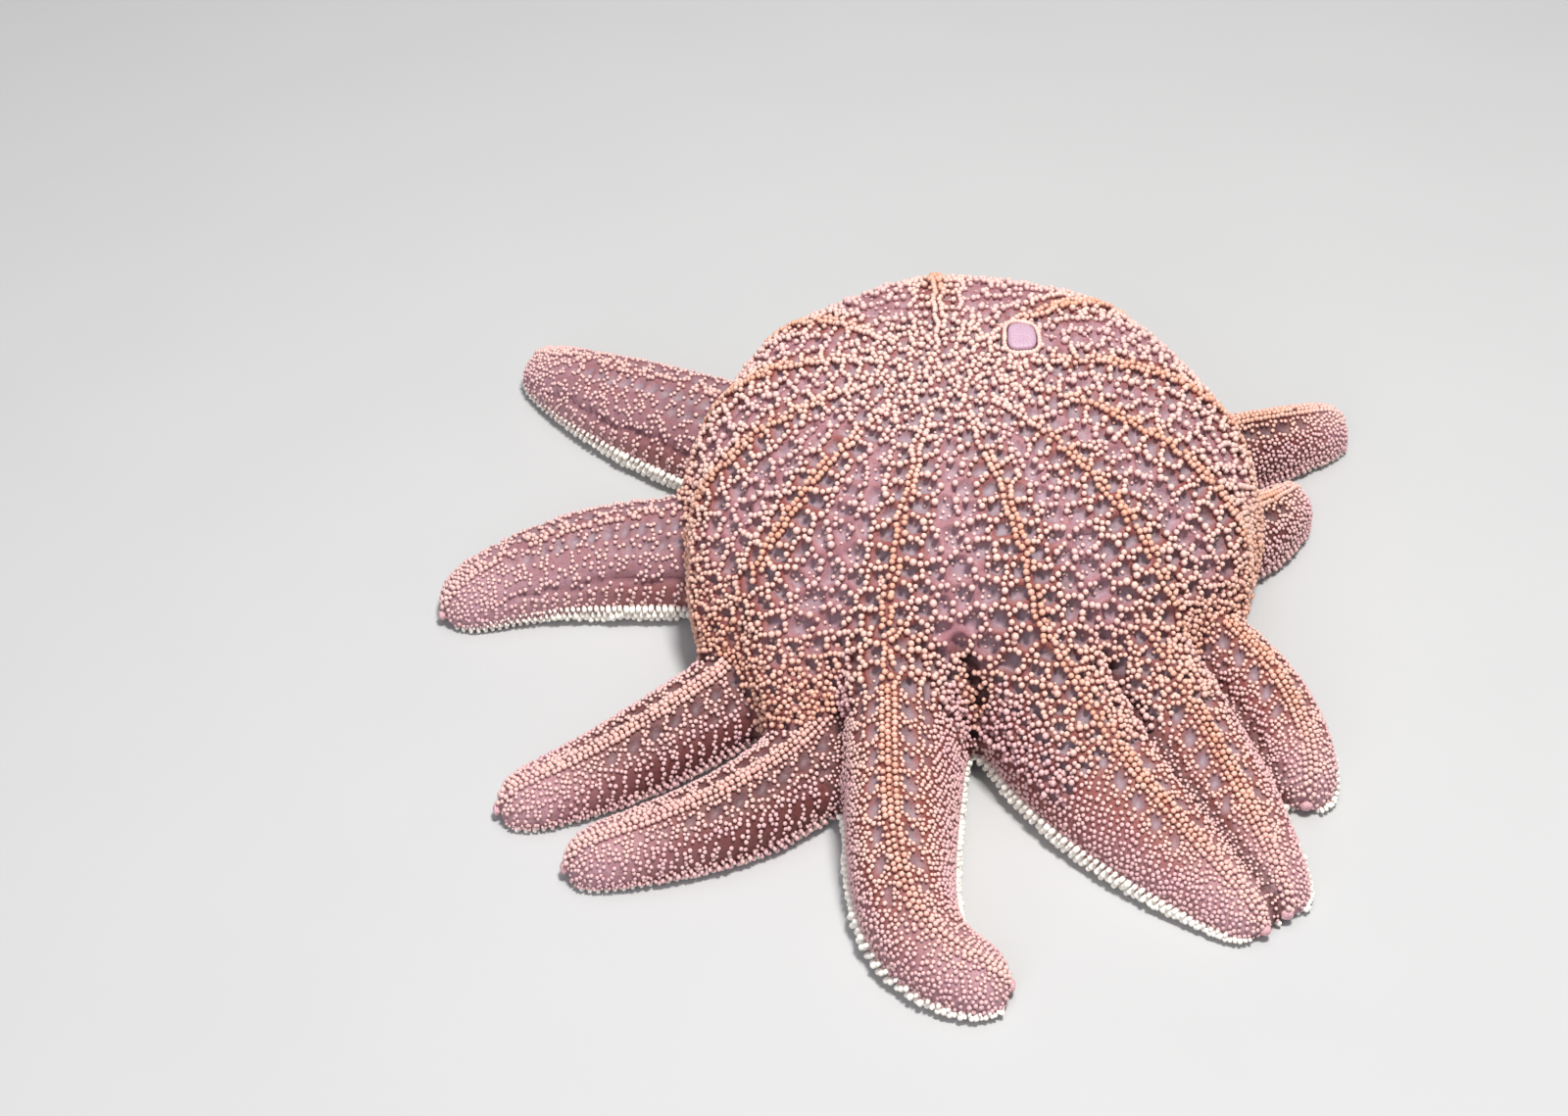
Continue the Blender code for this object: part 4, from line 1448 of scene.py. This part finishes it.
def matt_paint(tree):
    """Matt paint: an even pale floor, very slightly clouded."""
    tone = colours().floor
    place = add_node(tree, "ShaderNodeTexCoord", {}, "Object")
    # Clouds about 40 mm wide
    cloud = add_node(tree, "ShaderNodeTexNoise", {
        "Vector": place, "Scale": 1.0 / (40.0 * MM), "Detail": 3.0}, "Fac")
    value = add_node(tree, "ShaderNodeMix", {
        "data_type": "RGBA", 0: cloud, 6: (*tone, 1.0),
        7: (*(0.96 * part for part in tone), 1.0)}, 2)
    return {"Base Color": value, "Roughness": 0.85}


def add_piece(name, mesh, finish=None):
    """Link a new object for a mesh."""
    piece = bpy.data.objects.new(name, mesh)
    bpy.context.scene.collection.objects.link(piece)
    if finish is not None:
        mesh.materials.append(finish)
    return piece


def settle(piece, slot, *nodes):
    """Let a piece ride with the animal and stand for its solids, which are hidden. The slot is not
    used.
    """
    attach(piece, "root")
    if nodes:
        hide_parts(*nodes)


# The studio: soft round lights with their places, sizes, powers and tints
LIGHTS = (
    ("key", (0.10, -0.12, 0.78), 0.16, 7.3, "#FFFEFD"),
    ("fill", (-0.30, -0.70, 0.50), 0.7, 2.5, "#F0F2FF"),
    ("top", (0.0, 0.25, 0.8), 0.5, 1.2, "#FFFFFF"),
)
SKY_TINT = (0.92, 0.95, 1.0)
SKY_STRENGTH = 0.22
FLOOR_SIZE = 3.0
CAMERA_AT = (-0.02522, -0.37591, 0.33974)
CAMERA_TILT = 49.0  # degrees up from looking straight down
LENS = 60.0


def shared(maker):
    """The material that a function describes, made once and named for it.

    Such a function adds nodes to the material's tree, and returns the shader's settings and links.
    """
    finish = bpy.data.materials.get(maker.__name__)
    if finish is None:
        finish = bpy.data.materials.new(maker.__name__)
        finish.use_nodes = True
        tree = finish.node_tree
        set_node(tree, tree.nodes["Principled BSDF"], maker(tree))
    return finish


def add_spines(name, spines, profile, sides, rng, maker):
    """Add many spines as one piece."""
    mesh = spine_mesh(name, spines, profile, sides, rng)
    settle(add_piece(name, mesh, shared(maker)), FLESH_SLOT)


# ---- operators


class AddSkin(bpy.types.Operator):
    """Add the one skin that covers the disc and all the arms"""
    bl_idname = "starfish.add_skin"
    bl_label = "Skin"

    def execute(self, context):
        skin = make_skin()
        skin.data.materials.append(shared(wet_dermis))
        settle(skin, FLESH_SLOT, *FLESH_NODES)
        return {"FINISHED"}


class AddDomeSpines(bpy.types.Operator):
    """Add the blunt spines on the dome, in five lots round it"""
    bl_idname = "starfish.add_dome_spines"
    bl_label = "Dome spines"

    def execute(self, context):
        rng = np.random.default_rng(SEED + 1)
        spines = dome_spines(rng)
        offset = spines.fields[0] - CROWN_AT
        bearing = np.degrees(np.arctan2(offset[:, 1], offset[:, 0])) % 360.0
        for fifth in range(5):
            lot = spines.take((bearing // 72.0).astype(int) == fifth)
            add_spines("dome_spines_%d" % (fifth + 1), lot, BEAD, 7, rng, skinned_calcite)
        return {"FINISHED"}


class AddArmSpines(bpy.types.Operator):
    """Add the ridge band and cross rows of small spines on each arm"""
    bl_idname = "starfish.add_arm_spines"
    bl_label = "Arm spines"

    def execute(self, context):
        for arm in ARMS:
            rng = np.random.default_rng(SEED + 10 + arm.number)
            rows = arm_rows(arm, rng)
            add_spines("arm_%d_spines" % arm.number, rows, BEAD, 6, rng, skinned_calcite)
        return {"FINISHED"}


class AddFringe(bpy.types.Operator):
    """Add the pale fringe along the arms' lower edges, and the short spines of their soles"""
    bl_idname = "starfish.add_fringe"
    bl_label = "Fringe"

    def execute(self, context):
        for arm in ARMS:
            rng = np.random.default_rng(SEED + 30 + arm.number)
            finish = skinned_calcite if arm.tucked else bare_calcite
            add_spines("arm_%d_fringe" % arm.number, fringe_spines(arm, rng), PEG, 6, rng, finish)
            sole = under_spines(arm)
            add_spines("arm_%d_sole_spines" % arm.number, sole, PEG, 6, rng, bare_calcite)
        return {"FINISHED"}


class AddTubeFeet(bpy.types.Operator):
    """Add the tube feet in the arms' grooves"""
    bl_idname = "starfish.add_tube_feet"
    bl_label = "Tube feet"

    def execute(self, context):
        for arm in ARMS:
            rng = np.random.default_rng(SEED + 50 + arm.number)
            feet = tube_feet(arm, rng)
            add_spines("arm_%d_tube_feet" % arm.number, feet, SUCKER, 7, rng, hydrated_tissue)
        return {"FINISHED"}


class AddMouth(bpy.types.Operator):
    """Add the membrane across the mouth and the spines that lean over it"""
    bl_idname = "starfish.add_mouth"
    bl_label = "Mouth"

    def execute(self, context):
        settle(add_piece("mouth_membrane", mouth_membrane(), shared(hydrated_tissue)), FLESH_SLOT)
        rng = np.random.default_rng(SEED + 2)
        add_spines("mouth_spines", mouth_spines(rng), PEG, 8, rng, bare_calcite)
        return {"FINISHED"}


class AddPlates(bpy.types.Operator):
    """Add the sieve plate on the dome and the plate at each arm's tip"""
    bl_idname = "starfish.add_plates"
    bl_label = "Plates"

    def execute(self, context):
        plate = add_piece("sieve_plate", sieve_plate(), shared(porous_calcite))
        settle(plate, PLATE_SLOT, "madreporite")
        for number in range(1, len(ARMS) + 1):
            plate = add_piece("tip_plate_%d" % number, tip_plate(number), shared(porous_calcite))
            settle(plate, PLATE_SLOT, "terminal_plate_%d" % number)
        return {"FINISHED"}


class SetStage(bpy.types.Operator):
    """Set the floor, the soft lights and the camera"""
    bl_idname = "starfish.set_stage"
    bl_label = "Stage"

    def execute(self, context):
        scene = context.scene
        form = bmesh.new()
        bmesh.ops.create_grid(form, x_segments=1, y_segments=1, size=FLOOR_SIZE)
        mesh = bpy.data.meshes.new("floor")
        form.to_mesh(mesh)
        form.free()
        add_piece("floor", mesh, shared(matt_paint))
        world = bpy.data.worlds.new("studio")
        world.use_nodes = True
        background = world.node_tree.nodes["Background"]
        background.inputs["Color"].default_value = (*SKY_TINT, 1.0)
        background.inputs["Strength"].default_value = SKY_STRENGTH
        scene.world = world
        for name, place, size, power, tint in LIGHTS:
            light = bpy.data.lights.new(name, "AREA")
            light.shape = "DISK"
            light.size = size
            light.energy = power
            light.color = linear(tint)
            lamp = bpy.data.objects.new(name, light)
            lamp.location = place
            lamp.rotation_euler = (-Vector(place)).to_track_quat("-Z", "Y").to_euler()
            scene.collection.objects.link(lamp)
        view = bpy.data.cameras.new("camera")
        view.lens = LENS
        view.sensor_width = 36.0
        view.clip_start = 10.0 * MM
        camera = bpy.data.objects.new("camera", view)
        camera.location = CAMERA_AT
        camera.rotation_euler = Euler((radians(CAMERA_TILT), 0.0, 0.0))
        scene.collection.objects.link(camera)
        scene.camera = camera
        scene.view_settings.view_transform = "Standard"
        return {"FINISHED"}


class StarfishPanel(bpy.types.Panel):
    """Lists what the starfish is made of, in the order to make it"""
    bl_idname = "VIEW3D_PT_starfish"
    bl_label = "Reef starfish"
    bl_space_type = "VIEW_3D"
    bl_region_type = "UI"
    bl_category = "Starfish"

    def draw(self, context):
        layout = self.layout
        for group in (context.scene.starfish_sizes, context.scene.starfish_colours):
            box = layout.box()
            for name in group.__annotations__:
                box.prop(group, name)
        for operator in OPERATORS:
            layout.operator(operator.bl_idname)


OPERATORS = (AddSkin, AddDomeSpines, AddArmSpines, AddFringe, AddTubeFeet, AddMouth, AddPlates,
             SetStage)
CLASSES = (StarfishSizes, StarfishColours, *OPERATORS, StarfishPanel)


def register():
    for entry in CLASSES:
        bpy.utils.register_class(entry)
    bpy.types.Scene.starfish_sizes = PointerProperty(type=StarfishSizes)
    bpy.types.Scene.starfish_colours = PointerProperty(type=StarfishColours)


def unregister():
    del bpy.types.Scene.starfish_colours
    del bpy.types.Scene.starfish_sizes
    for entry in reversed(CLASSES):
        bpy.utils.unregister_class(entry)


def main():
    register()
    for operator in OPERATORS:
        group, name = operator.bl_idname.split(".")
        getattr(getattr(bpy.ops, group), name)()
    bpy.context.view_layer.update()


if __name__ == "__main__":
    main()
